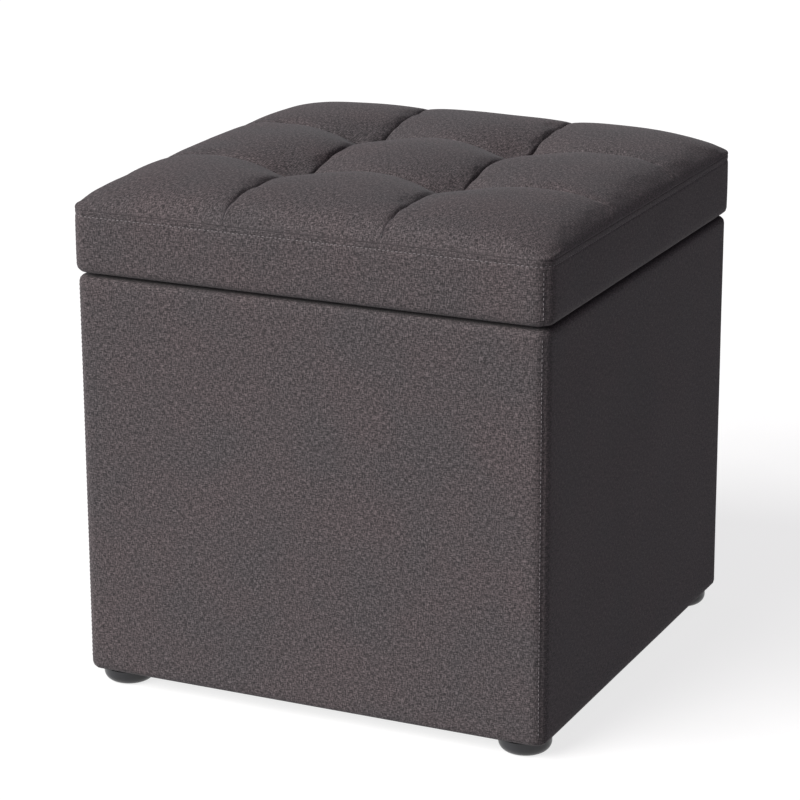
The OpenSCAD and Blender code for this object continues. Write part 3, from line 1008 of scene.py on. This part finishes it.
@dataclass
class Body:
    """The box: padded cloth outside, linings inside, and a dust cloth below."""

    outside: tuple[Vector, Vector] = field(default_factory=lambda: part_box("body_cover"))
    boards: float = field(default_factory=lambda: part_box("right_panel")[1].x)
    room: float = field(default_factory=lambda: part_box("bottom_panel")[1].x)
    post: float = field(default_factory=lambda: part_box("corner_post_front_right")[1].x
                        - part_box("corner_post_front_right")[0].x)
    rail: float = field(default_factory=lambda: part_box("hinge_rail")[1].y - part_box("hinge_rail")[0].y)
    board_top: float = field(default_factory=lambda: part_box("front_panel")[1].z)
    board_foot: float = field(default_factory=lambda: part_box("front_panel")[0].z)
    cloth: float = 1.2 * MM
    corner_radius: float = 11 * MM
    rim_radius: float = 5 * MM
    foot_radius: float = 5 * MM
    lip_drop: float = 34.4 * MM
    hem: float = 35.2 * MM
    pinch: float = 0.7 * MM
    pinch_width: float = 1.1 * MM
    waviness: float = 0.45 * MM
    wave_length: float = 0.24
    swell: float = 0.5 * MM
    swell_reach: float = 30 * MM
    inset: float = 0.4 * MM
    lip_round: float = 1.6 * MM
    wood_gap: float = 0.1 * MM
    lining: float = 0.8 * MM
    slack: float = 0.8 * MM
    stitch_offset: float = 1.9 * MM

    def __post_init__(self) -> None:
        """Works out the outlines."""
        low, high = self.outside
        self.plan = RoundedPlan(high.x, high.y, self.corner_radius)
        self.mouth = MouthPlan(self.room - self.cloth, self.room - self.cloth, self.post, self.rail)
        self.low, self.rim = low.z, high.z
        turn = 3 * math.pi / 4
        spread = np.concatenate([self.plan.directions(5 * MM, 14), self.mouth.corners()]) % (2 * math.pi)
        spread = np.sort((spread - turn) % (2 * math.pi))
        keep = np.concatenate([[True], np.diff(spread) > 2e-4])
        self.angles = spread[keep] + turn

    def skin(self, inward: float, height: float) -> np.ndarray:
        """The outer face's distance from the middle at one height.

        Args:
            inward: how far the section lies inside the widest outline.
            height: the height above the floor.

        Returns:
            The distance for each direction.
        """
        reach = self.plan.grown(-inward).reach(self.angles)
        x, y = reach * np.cos(self.angles), reach * np.sin(self.angles)
        rise = (height - self.low) / (self.rim - self.low)
        calm = math.sin(math.pi * min(max(rise, 0.0), 1.0)) ** 0.5
        corner = corner_distance(self.plan, self.angles)
        beside = np.minimum(corner / self.swell_reach, 1)
        along = np.where(np.abs(x) > np.abs(y), y, x) + np.where(np.abs(x) > np.abs(y), 0.7, 0)
        wave = ripple(along, np.full_like(along, height), 2.3, self.wave_length) * self.waviness
        swell = self.swell * (1 - (1 - beside) ** 2) * calm
        dent = self.pinch * np.exp(-((corner / self.pinch_width) ** 2))
        return reach + calm * beside * wave + swell - self.inset * calm - dent * (0.25 + 0.75 * calm)

    def upholstery(self) -> None:
        """The padded cloth over the box, turned in over the rim and under the bottom edge."""
        loft = Loft(self.angles)
        outer = bent_path([(self.hem, self.low, 0), (0, self.low, self.foot_radius),
                           (0, self.rim, self.rim_radius),
                           (self.rim_radius + 2 * MM, self.rim, 0)], 5.5 * MM)
        for inward, height in outer:
            loft.add(self.skin(inward, height), height)
        mouth = self.mouth.reach(self.angles)
        loft.add_between(self.mouth.grown(self.lip_round).reach(self.angles), self.rim, 5)
        for t in (0.35, 0.7, 1.0):
            turn = t * math.pi / 2
            loft.add(self.mouth.grown(self.lip_round * (1 - math.sin(turn))).reach(self.angles),
                     self.rim - self.lip_round * (1 - math.cos(turn)))
        bottom = self.board_top - self.lip_drop
        loft.add_between(mouth, bottom, 8)
        back = self.mouth.grown(self.cloth).reach(self.angles)
        loft.add(back, bottom)
        loft.add_between(back, self.board_top + self.wood_gap, 2)
        half = self.boards + self.wood_gap
        wood = RoundedPlan(half, half, 0.3 * MM).reach(self.angles)
        loft.add_between(wood, self.board_top + self.wood_gap, 2)
        loft.add_between(wood, self.board_foot, 6)
        loft.add(self.plan.grown(-self.hem).reach(self.angles), self.board_foot)
        obj = loft.build("body_upholstery", Finish.CLOTH, outline_length(self.plan, self.angles))
        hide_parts("body_cover", "front_padding", "back_padding", "left_padding", "right_padding")
        finish_piece(obj, "body")

    def corner_stitching(self) -> None:
        """A row of stitches beside each corner seam."""
        heights = np.arange(self.low + self.foot_radius + 4 * MM, self.rim - self.rim_radius, 3 * MM)
        stitched_corners("body_corner_stitching", self.plan, self.stitch_offset, Thread(),
                         lambda height: self.skin(0, height), self.angles, heights, "body")

    def linings(self) -> None:
        """The storage room's wall and floor linings."""
        low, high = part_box("wall_liner")
        room = MouthPlan(self.room, self.room, self.post)
        angles = np.sort(np.concatenate([np.linspace(0, 2 * math.pi, 220, endpoint=False),
                                         np.array(room.corners())]))
        angles = angles[np.concatenate([[True], np.diff(angles) > 2e-4])]
        loft = Loft(angles)
        wall, face = room.reach(angles), room.grown(-self.lining).reach(angles)
        along = outline_length(room, angles)
        top = self.board_top - self.lip_drop - self.lining
        for height in np.linspace(low.z, top, 36):
            ease = math.sin(math.pi * (height - low.z) / (top - low.z)) ** 0.6
            loose = self.slack * ease * (1 + ripple(along, np.full_like(along, height), 5.1, 0.3))
            loft.add(face - loose, height)
        for height in np.linspace(top, low.z, 3):
            loft.add(wall - 0.05 * MM, height)
        flip = Loft(angles, loft.rings[::-1], loft.heights[::-1])
        wall_lining = flip.build("wall_lining", Finish.LINING, along)
        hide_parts("wall_liner")
        finish_piece(wall_lining, "body")

        low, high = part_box("floor_liner")
        floor = MouthPlan(high.x, high.y, self.post)
        floor_lining = cloth_disc("floor_lining", floor, low.z + 0.05 * MM, high.z, 0.25 * MM, 7.7,
                                  Finish.LINING, floor.corners())
        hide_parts("floor_liner")
        finish_piece(floor_lining, "body")

    def dust_cloth(self) -> None:
        """The black cloth stapled under the box."""
        low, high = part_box("dust_cover")
        obj = cloth_disc("underside_dust_cloth", RoundedPlan(high.x, high.y, 6 * MM), low.z,
                         high.z - 0.05 * MM, 0.2 * MM, 3.3, Finish.LINING,
                         [turn + d for turn in SQUARE_CORNERS for d in (-0.012, 0, 0.012)])
        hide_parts("dust_cover")
        finish_piece(obj, "body")

    def build(self) -> None:
        """Builds every piece of the body."""
        self.upholstery()
        self.corner_stitching()
        self.linings()
        self.dust_cloth()


def finish_piece(obj: bpy.types.Object, body: str) -> None:
    """Lets a piece ride on its body and reports it.

    Args:
        obj: the piece.
        body: the body that it rides on.
    """
    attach(obj, body)
    log.info("%s rides on %s: %d faces", obj.name, body, len(obj.data.polygons))


def stitched_corners(name: str, plan: RoundedPlan, offset: float, thread: Thread,
                     skin: Callable[[float], np.ndarray], angles: np.ndarray,
                     heights: np.ndarray, body: str) -> None:
    """An upright row of stitches beside each of four corner seams.

    Args:
        name: the piece's name.
        plan: the outline that the seams stand on.
        offset: the distance from the seam to each row.
        thread: the thread.
        skin: gives the cloth's distance from the middle at a height.
        angles: the directions of those distances.
        heights: the heights to follow.
        body: the body that the piece rides on.
    """
    order = np.argsort(angles % (2 * math.pi))
    turns = (angles % (2 * math.pi))[order]
    parts = []
    radius = plan.radius
    for quarter in range(4):
        spin = math.pi / 4 - offset / radius
        x = plan.half_x - radius + radius * math.cos(spin)
        y = plan.half_y - radius + radius * math.sin(spin)
        direction = math.atan2(y, x) + quarter * math.pi / 2
        normal_turn = spin + quarter * math.pi / 2
        path = []
        for height in heights:
            reach = np.interp(direction % (2 * math.pi), turns, skin(height)[order], period=2 * math.pi)
            path.append((reach * math.cos(direction), reach * math.sin(direction), height))
        normals = np.tile([math.cos(normal_turn), math.sin(normal_turn), 0.0], (len(path), 1))
        parts.append(thread.stitches(np.array(path), normals))
    points, faces = join_parts(parts)
    obj = make_object(name, points, faces, Finish.THREAD)
    finish_piece(obj, body)


# ---------------------------------------------------------------- the lid


@dataclass
class Lid:
    """The hinged lid: a cloth band round a board, and a cushion tufted in nine squares."""

    band_box: tuple[Vector, Vector] = field(default_factory=lambda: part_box("lid_band"))
    board_box: tuple[Vector, Vector] = field(default_factory=lambda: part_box("lid_board"))
    crown: float = field(default_factory=lambda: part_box("lid_top_cover")[1].z)
    # The seams cut the body's width in three.
    tuft: float = 66.67 * MM
    cloth: float = 1.2 * MM
    corner_radius: float = 14 * MM
    under_radius: float = 5 * MM
    hem: float = 46 * MM
    seam_turn: float = 1.4 * MM
    seam_lap: float = 4 * MM
    stitch_drop: float = 5.0 * MM
    stitch_offset: float = 1.9 * MM
    stitch_groove: float = 0.55 * MM
    groove_width: float = 1.1 * MM
    pinch: float = 0.9 * MM
    pinch_width: float = 1.5 * MM
    swell: float = 0.7 * MM
    swell_reach: float = 24 * MM
    inset: float = 0.5 * MM
    waviness: float = 0.4 * MM
    wave_length: float = 0.13
    wall_power: float = 2.35
    puff_power: float = 2.2
    puff_fullness: float = 0.42
    fade_power: float = 1.4
    drop_power: float = 2.2
    crease_depth: float = 0.35 * MM
    crease_reach: float = 13 * MM
    crease_width: float = 9 * MM
    unevenness: float = 0.5 * MM
    sharpness: float = 0.9
    board_gap: float = 0.2 * MM
    edge_width: float = 56 * MM
    valley: float = 15.0 * MM
    tuft_depth: float = 11.0 * MM
    tuft_spread: float = 27 * MM
    edge_fill: float = 0.9
    edge_drop: float = 8.0 * MM
    seam_dip: float = 1.0 * MM
    seam_width: float = 1.2 * MM
    steps: int = 28

    def __post_init__(self) -> None:
        """Works out the outlines."""
        low, high = self.band_box
        self.plan = RoundedPlan(high.x, high.y, self.corner_radius)
        self.low, self.seam = low.z, high.z
        turn = 3 * math.pi / 4
        self.angles = np.sort((self.plan.directions(4.5 * MM, 14) - turn) % (2 * math.pi)) + turn
        self.puff = self.crown - self.seam - self.valley

    def skin(self, inward: float, height: float) -> np.ndarray:
        """The band's distance from the middle at one height.

        Args:
            inward: how far the section lies inside the widest outline.
            height: the height above the floor.

        Returns:
            The distance for each direction.
        """
        reach = self.plan.grown(-inward).reach(self.angles)
        x, y = reach * np.cos(self.angles), reach * np.sin(self.angles)
        rise = min(max((height - self.low) / (self.seam - self.low), 0.0), 1.0)
        calm = math.sin(math.pi * rise) ** 0.7
        corner = corner_distance(self.plan, self.angles)
        beside = np.minimum(corner / self.swell_reach, 1)
        along = np.where(np.abs(x) > np.abs(y), y, x) + np.where(np.abs(x) > np.abs(y), 0.9, 0)
        wave = ripple(along, np.full_like(along, height), 4.4, self.wave_length) * self.waviness
        dent = self.pinch * np.exp(-((corner / self.pinch_width) ** 2)) * (0.4 + 0.6 * calm)
        off_row = self.seam - self.stitch_drop - height
        groove = self.stitch_groove * math.exp(-((off_row / self.groove_width) ** 2))
        swell = calm * (self.swell * (0.35 + 0.65 * beside) + beside * wave)
        return reach + swell - self.inset - dent - groove

    def band(self) -> None:
        """The cloth round the lid's side, turned under it and sewn to the top."""
        loft = Loft(self.angles)
        side = bent_path([(self.hem, self.low, 0), (0, self.low, self.under_radius),
                          (0, self.seam - 9 * MM, 0)], 5 * MM)
        top = bent_path([(0, self.seam - 9 * MM, 0), (0, self.seam, self.seam_turn),
                         (self.seam_lap, self.seam, 0)], 0.6 * MM)
        for inward, height in np.concatenate([side, top[1:]]):
            loft.add(self.skin(inward, height), height)
        behind = self.cloth + 0.9 * MM
        inner = [(self.seam_lap, self.seam - self.cloth), (behind, self.seam - self.cloth - 1 * MM),
                 (behind, self.seam - 25 * MM), (behind, self.low + self.under_radius),
                 (self.under_radius, self.low + self.cloth), (self.hem, self.low + self.cloth)]
        for inward, height in inner:
            loft.add(self.skin(inward, height) if inward < 3 * MM else
                     self.plan.grown(-inward).reach(self.angles), height)
        obj = loft.build("lid_band_cloth", Finish.CLOTH, outline_length(self.plan, self.angles))
        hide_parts("lid_band")
        finish_piece(obj, "lid")

    def band_stitching(self) -> None:
        """The row of topstitching under the top seam."""
        height = self.seam - self.stitch_drop
        reach = self.skin(0, height)
        path = np.stack([reach * np.cos(self.angles), reach * np.sin(self.angles),
                         np.full_like(reach, height)], axis=1)
        path = np.concatenate([path, path[:1]])
        along = np.gradient(path, axis=0)
        normals = np.stack([along[:, 1], -along[:, 0], np.zeros(len(along))], axis=1)
        normals /= np.linalg.norm(normals, axis=1, keepdims=True)
        points, faces = Thread().stitches(path, normals)
        obj = make_object("lid_band_stitching", points, faces, Finish.THREAD)
        finish_piece(obj, "lid")

    def corner_stitching(self) -> None:
        """A row of stitches beside each of the band's corner seams."""
        heights = np.arange(self.low + self.under_radius, self.seam - 8 * MM, 2.5 * MM)
        stitched_corners("lid_corner_stitching", self.plan, self.stitch_offset, Thread(),
                         lambda height: self.skin(0, height), self.angles, heights, "lid")

    def lines(self) -> np.ndarray:
        """Places across the top, close together at the seams and at the edges.

        Returns:
            The places in metres, from one edge to the other.
        """
        marks = [-self.plan.half_x, -self.tuft, self.tuft, self.plan.half_x]
        spots = []
        for start, end in zip(marks, marks[1:]):
            t = np.linspace(0, 1, self.steps, endpoint=False)
            spots += list(start + (end - start) * (t - 0.13 * np.sin(2 * math.pi * t)))
        return np.array([*spots, marks[-1]])

    def height(self, x: np.ndarray, y: np.ndarray) -> np.ndarray:
        """The cushion's height over the plan.

        Args:
            x: places across, on the square before its corners are rounded.
            y: places from front to back.

        Returns:
            The height above the floor.
        """
        wall = dome_profile(self.plan.half_x - np.abs(x), self.edge_width, self.wall_power) \
            * dome_profile(self.plan.half_y - np.abs(y), self.edge_width, self.wall_power)

        def across(v: np.ndarray) -> np.ndarray:
            """How far the cloth stands up between two seams, from 0 to 1."""
            near = np.abs(np.abs(v) - self.tuft) / self.tuft
            inner = 1 - np.clip(1 - near, 0, 1) ** self.puff_power
            return inner**self.puff_fullness

        def fade(v: np.ndarray, half: float) -> np.ndarray:
            """How much of a seam's valley is left towards the lid's edge, from 1 to 0."""
            out = np.clip((np.abs(v) - self.tuft) / (half - self.tuft), 0, 1)
            return 1 - self.edge_fill * out**self.fade_power

        side_x, side_y = across(x), across(y)
        puff = (1 - (1 - side_x) * fade(y, self.plan.half_y)) \
            * (1 - (1 - side_y) * fade(x, self.plan.half_x))
        pull = np.zeros_like(x)
        crease = np.zeros_like(x)
        for tx in (-self.tuft, self.tuft):
            for ty in (-self.tuft, self.tuft):
                away = np.hypot(x - tx, y - ty)
                around = np.arctan2(y - ty, x - tx)
                pull += np.exp(-(away**2) / (2 * self.tuft_spread**2))
                crease += np.sin(6 * around + 11 * tx / self.tuft + 5 * ty / self.tuft) \
                    * np.exp(-(((away - self.crease_reach) / self.crease_width) ** 2))
        uneven = ripple(x, y, 6.2, 0.15) * self.unevenness
        rise = self.valley - self.tuft_depth * pull + (self.puff + uneven) * puff \
            + crease * self.crease_depth
        line = np.maximum(*(np.exp(-(((np.abs(v) - self.tuft) / self.seam_width) ** 2)) for v in (x, y)))
        rise = rise - self.seam_dip * line
        drop = sum(np.clip((np.abs(v) - self.tuft) / (half - self.tuft), 0, 1) ** self.drop_power
                   for v, half in ((x, self.plan.half_x), (y, self.plan.half_y)))
        return self.seam + wall * (rise - self.edge_drop * drop)

    def rounded(self, x: np.ndarray, y: np.ndarray) -> tuple[np.ndarray, np.ndarray]:
        """Moves places on a square so that its corners become round.

        Args:
            x: places across.
            y: places from front to back.

        Returns:
            The moved places across and from front to back.
        """
        cx, cy = self.plan.half_x - self.plan.radius, self.plan.half_y - self.plan.radius
        ox, oy = np.abs(x) - cx, np.abs(y) - cy
        both = (ox > 0) & (oy > 0)
        size = np.hypot(ox, oy)
        squeeze = np.where(both, np.maximum(ox, oy) / np.maximum(size, 1e-12), 1.0)
        return (np.where(both, np.sign(x) * (cx + ox * squeeze), x),
                np.where(both, np.sign(y) * (cy + oy * squeeze), y))

    def weave(self, points: np.ndarray, n: int) -> np.ndarray:
        """The cloth's own place at each point, which follows the cloth over the puffs.

        Args:
            points: the cushion's points, the top's square grid first.
            n: how many points each row of the grid has.

        Returns:
            The place along weft and warp for each point, in metres.
        """
        grid = points[: n * n].reshape(n, n, 3)
        place = points[:, :2].copy()
        for axis in (0, 1):
            step = np.linalg.norm(np.diff(grid, axis=1 - axis), axis=2)
            run = np.concatenate([np.zeros_like(np.take(step, [0], axis=1 - axis)),
                                  np.cumsum(step, axis=1 - axis)], axis=1 - axis)
            run -= np.take(run, [n // 2], axis=1 - axis)
            place[: n * n, axis] = run.ravel()
        return place

    def cushion(self) -> None:
        """The tufted cushion: cloth over foam, closed below where it lies on the board."""
        spots = self.lines()
        n = len(spots)
        gx, gy = np.meshgrid(spots, spots)
        x, y = self.rounded(gx, gy)
        top = np.stack([x, y, self.height(gx, gy)], axis=2).reshape(-1, 3)
        faces = [(r * n + c, r * n + c + 1, (r + 1) * n + c + 1, (r + 1) * n + c)
                 for r in range(n - 1) for c in range(n - 1)]
        rim = list(range(n)) + [r * n + n - 1 for r in range(1, n)] \
            + [(n - 1) * n + c for c in range(n - 2, -1, -1)] + [r * n for r in range(n - 2, 0, -1)]
        border = top[rim]
        board = self.board_box
        tucked = self.cloth + 1.5 * MM
        beside = self.plan.half_x - board[1].x - 0.1 * MM
        under = board[1].z + self.board_gap
        levels = [(0.5 * MM, self.seam - 0.35 * MM), (tucked, self.seam - 1.7 * MM),
                  (tucked, self.seam - 14 * MM), (tucked, self.seam - 30 * MM),
                  (tucked, board[0].z + 2 * MM), (beside, board[0].z + 1 * MM),
                  (beside, under), (12 * MM, under)]
        points = [top]
        direction = np.arctan2(border[:, 1], border[:, 0])
        before, count = list(rim), len(top)
        for inward, height in levels:
            reach = self.plan.grown(-inward).reach(direction)
            points.append(np.stack([reach * np.cos(direction), reach * np.sin(direction),
                                    np.full(len(rim), height)], axis=1))
            after = list(range(count, count + len(rim)))
            for k in range(len(rim)):
                m = (k + 1) % len(rim)
                faces.append((before[k], after[k], after[m], before[m]))
            before, count = after, count + len(rim)
        points.append(np.array([[0, 0, under]]))
        for k in range(len(rim)):
            faces.append((before[k], count, before[(k + 1) % len(rim)]))
        points = np.concatenate(points)
        obj = make_object("lid_cushion", points, faces, Finish.CLOTH, self.weave(points, n))
        seam_rows = {0, self.steps, 2 * self.steps, n - 1}
        held = [i for i in range(n * n) if (i // n) in seam_rows or (i % n) in seam_rows]
        held += list(range(n * n, len(points)))
        inflate(obj, held, pressure=0.6, cap=0.8 * MM)
        seams = {self.steps, 2 * self.steps}
        crease = obj.data.attributes.new("crease_edge", "FLOAT", "EDGE")
        for edge in obj.data.edges:
            a, b = edge.vertices
            along_x, along_y = a // n == b // n and a // n in seams, a % n == b % n and a % n in seams
            if max(a, b) < n * n and (along_x or along_y):
                crease.data[edge.index].value = self.sharpness
        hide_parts("lid_top_cover", "lid_foam")
        every = np.zeros(len(obj.data.vertices) * 3, np.float32)
        obj.data.vertices.foreach_get("co", every)
        self.top_rows = every.reshape(-1, 3)[: n * n].reshape(n, n, 3)
        smoother = obj.modifiers.new("even", "SUBSURF")
        smoother.levels = smoother.render_levels = 1
        finish_piece(obj, "lid")

    def grid_seams(self) -> None:
        """A dark thread drawn tight along the four valleys: it stands for the seams and paints the shade
        in their creases.
        """
        thread = Thread(radius=0.7 * MM)
        lift = np.array([0, 0, 0.1 * MM])
        parts = []
        for line in (self.steps, 2 * self.steps):
            for row in (self.top_rows[line], self.top_rows[:, line]):
                path = row.astype(float)[1:-1] + lift
                parts.append(thread.tube(path, np.tile([0.0, 0.0, 1.0], (len(path), 1)),
                                         [thread.radius] * len(path)))
        points, faces = join_parts(parts)
        obj = make_object("lid_grid_seams_painted_shade", points, faces, Finish.SEAM_THREAD)
        finish_piece(obj, "lid")

    def lining(self) -> None:
        """The black cloth stapled under the lid."""
        low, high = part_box("lid_lining")
        obj = cloth_disc("lid_underside_lining", RoundedPlan(high.x, high.y, 6 * MM), low.z,
                         high.z - 0.05 * MM, 0.15 * MM, 9.1, Finish.LINING,
                         [turn + d for turn in SQUARE_CORNERS for d in (-0.014, 0, 0.014)])
        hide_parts("lid_lining")
        finish_piece(obj, "lid")

    def build(self) -> None:
        """Builds every piece of the lid."""
        self.band()
        self.band_stitching()
        self.corner_stitching()
        self.cushion()
        self.grid_seams()
        self.lining()


def inflate(obj: bpy.types.Object, held: Sequence[int], pressure: float, cap: float) -> None:
    """Swells a closed piece with a cloth simulation, and keeps only the result.

    Args:
        obj: the piece.
        held: the vertices that the seams and the board hold still.
        pressure: the pressure inside.
        cap: the furthest that a point may move.
    """
    scene = bpy.context.scene
    mesh = obj.data
    group = obj.vertex_groups.new(name="held")
    group.add([int(i) for i in held], 1.0, "REPLACE")
    before = np.zeros(len(mesh.vertices) * 3, np.float32)
    mesh.vertices.foreach_get("co", before)
    cloth = obj.modifiers.new("cloth", "CLOTH")
    values = cloth.settings
    values.quality = 6
    values.mass = 0.25
    values.tension_stiffness = values.compression_stiffness = 25
    values.shear_stiffness = 12
    values.bending_stiffness = 2.0
    values.vertex_group_mass = group.name
    values.pin_stiffness = 1.0
    values.use_pressure = True
    values.uniform_pressure_force = pressure
    values.shrink_min = -0.02
    values.effector_weights.gravity = 0
    cloth.collision_settings.use_collision = False
    cloth.point_cache.frame_start, cloth.point_cache.frame_end = 1, SWELL_FRAMES
    for number in range(1, SWELL_FRAMES + 1):
        scene.frame_set(number)
    swollen = obj.evaluated_get(bpy.context.evaluated_depsgraph_get()).to_mesh()
    after = np.zeros(len(mesh.vertices) * 3, np.float32)
    swollen.vertices.foreach_get("co", after)
    move = (after - before).reshape(-1, 3)
    size = np.linalg.norm(move, axis=1, keepdims=True)
    move *= np.minimum(1, cap / np.maximum(size, 1e-9))
    obj.modifiers.remove(cloth)
    obj.vertex_groups.remove(group)
    scene.frame_set(1)
    mesh.vertices.foreach_set("co", (before.reshape(-1, 3) + move).ravel())
    mesh.update()
    log.info("%s swells by up to %.1f mm", obj.name, float(size.max()) / MM)


# ---------------------------------------------------------------- parts that keep the model's own shape


@dataclass
class Hardware:
    """Boards, battens, feet, hinges, stay and fixings, which keep the model's own shape."""

    finishes: dict[str, Finish] = field(default_factory=lambda: {
        "board": Finish.BOARD, "batten": Finish.PINE, "foam": Finish.FOAM, "twine": Finish.TWINE,
        "foot_plastic": Finish.FOOT, "washer_plastic": Finish.WASHER, "zinc_steel": Finish.STEEL,
        "upholstery": Finish.CLOTH, "lining": Finish.LINING, "dust_cloth": Finish.LINING})

    def build(self) -> None:
        """Dresses every node with the finish that its slot names."""
        for part in frame["record"]["subparts"]:
            obj = frame["nodes"][part["node"]]
            obj.data.materials.clear()
            obj.data.materials.append(self.finishes[part["material_slot"]].material())
            log.info("%s is dressed as %s", obj.name, part["material_slot"])


# ---------------------------------------------------------------- the studio


@dataclass
class Studio:
    """A plain pale floor, soft light and the camera."""

    turn: float = 25.02
    tilt: float = 17.15
    roll: float = -0.217
    distance: float = 2.531
    across: float = -0.0111
    above: float = -0.0025
    aim_height: float = 0.2128
    lens: float = 138.07
    sun_from: tuple[float, float, float] = (-0.45, -0.70, 0.55)
    sun_strength: float = 4.75
    sun_spread: float = 48.0
    sky: float = 0.128
    sky_colour: str = "#f2e0fa"
    sensor: float = 36.0
    view_depth: float = 60.0
    floor_half: float = 14.0

    def camera(self) -> None:
        """Sets the camera up at the ottoman's front right."""
        a, e, r = (math.radians(v) for v in (self.turn, self.tilt, self.roll))
        back = Vector((math.sin(a) * math.cos(e), -math.cos(a) * math.cos(e), math.sin(e)))
        right = Vector((math.cos(a), math.sin(a), 0))
        up = back.cross(right)
        aim = Vector((0, 0, self.aim_height)) + right * self.across + up * self.above
        spot = aim + back * self.distance
        tilted = right * math.cos(r) + up * math.sin(r)
        upright = up * math.cos(r) - right * math.sin(r)
        data = bpy.data.cameras.new("camera")
        data.lens = self.lens
        data.sensor_width = self.sensor
        data.clip_end = self.view_depth
        camera = bpy.data.objects.new("camera", data)
        facing = Matrix((tilted, upright, back)).transposed().to_4x4()
        camera.matrix_world = Matrix.Translation(spot) @ facing
        bpy.context.scene.collection.objects.link(camera)
        bpy.context.scene.camera = camera

    def light(self) -> None:
        """Sets up one broad key light and an even surrounding light."""
        data = bpy.data.lights.new("key", "SUN")
        data.energy = self.sun_strength
        data.angle = math.radians(self.sun_spread)
        key = bpy.data.objects.new("key", data)
        key.rotation_euler = Vector(self.sun_from).to_track_quat("Z", "Y").to_euler()
        bpy.context.scene.collection.objects.link(key)
        world = bpy.data.worlds.new("surround")
        bpy.context.scene.world = world
        world.use_nodes = True
        sky = next(n for n in world.node_tree.nodes if n.type == "BACKGROUND")
        sky.inputs["Color"].default_value = srgb(self.sky_colour)
        sky.inputs["Strength"].default_value = self.sky

    def floor(self) -> None:
        """Lays the floor."""
        half = self.floor_half
        corners = np.array([[-half, -half, 0], [half, -half, 0], [half, half, 0], [-half, half, 0]])
        obj = make_object("studio_floor", corners, [(0, 1, 2, 3)], Finish.FLOOR)
        obj.visible_diffuse = False

    def build(self) -> None:
        """Sets the whole studio up."""
        bpy.context.scene.view_settings.view_transform = "Standard"
        self.camera()
        self.light()
        self.floor()


def main() -> None:
    """Builds the studio and the ottoman."""
    logging.basicConfig(level=logging.INFO, format="%(name)s: %(message)s")
    Studio().build()
    for part in (Hardware(), Body(), Lid()):
        log.info("building %s", type(part).__name__)
        part.build()
    bpy.context.view_layer.update()


if __name__ == "__main__":
    main()
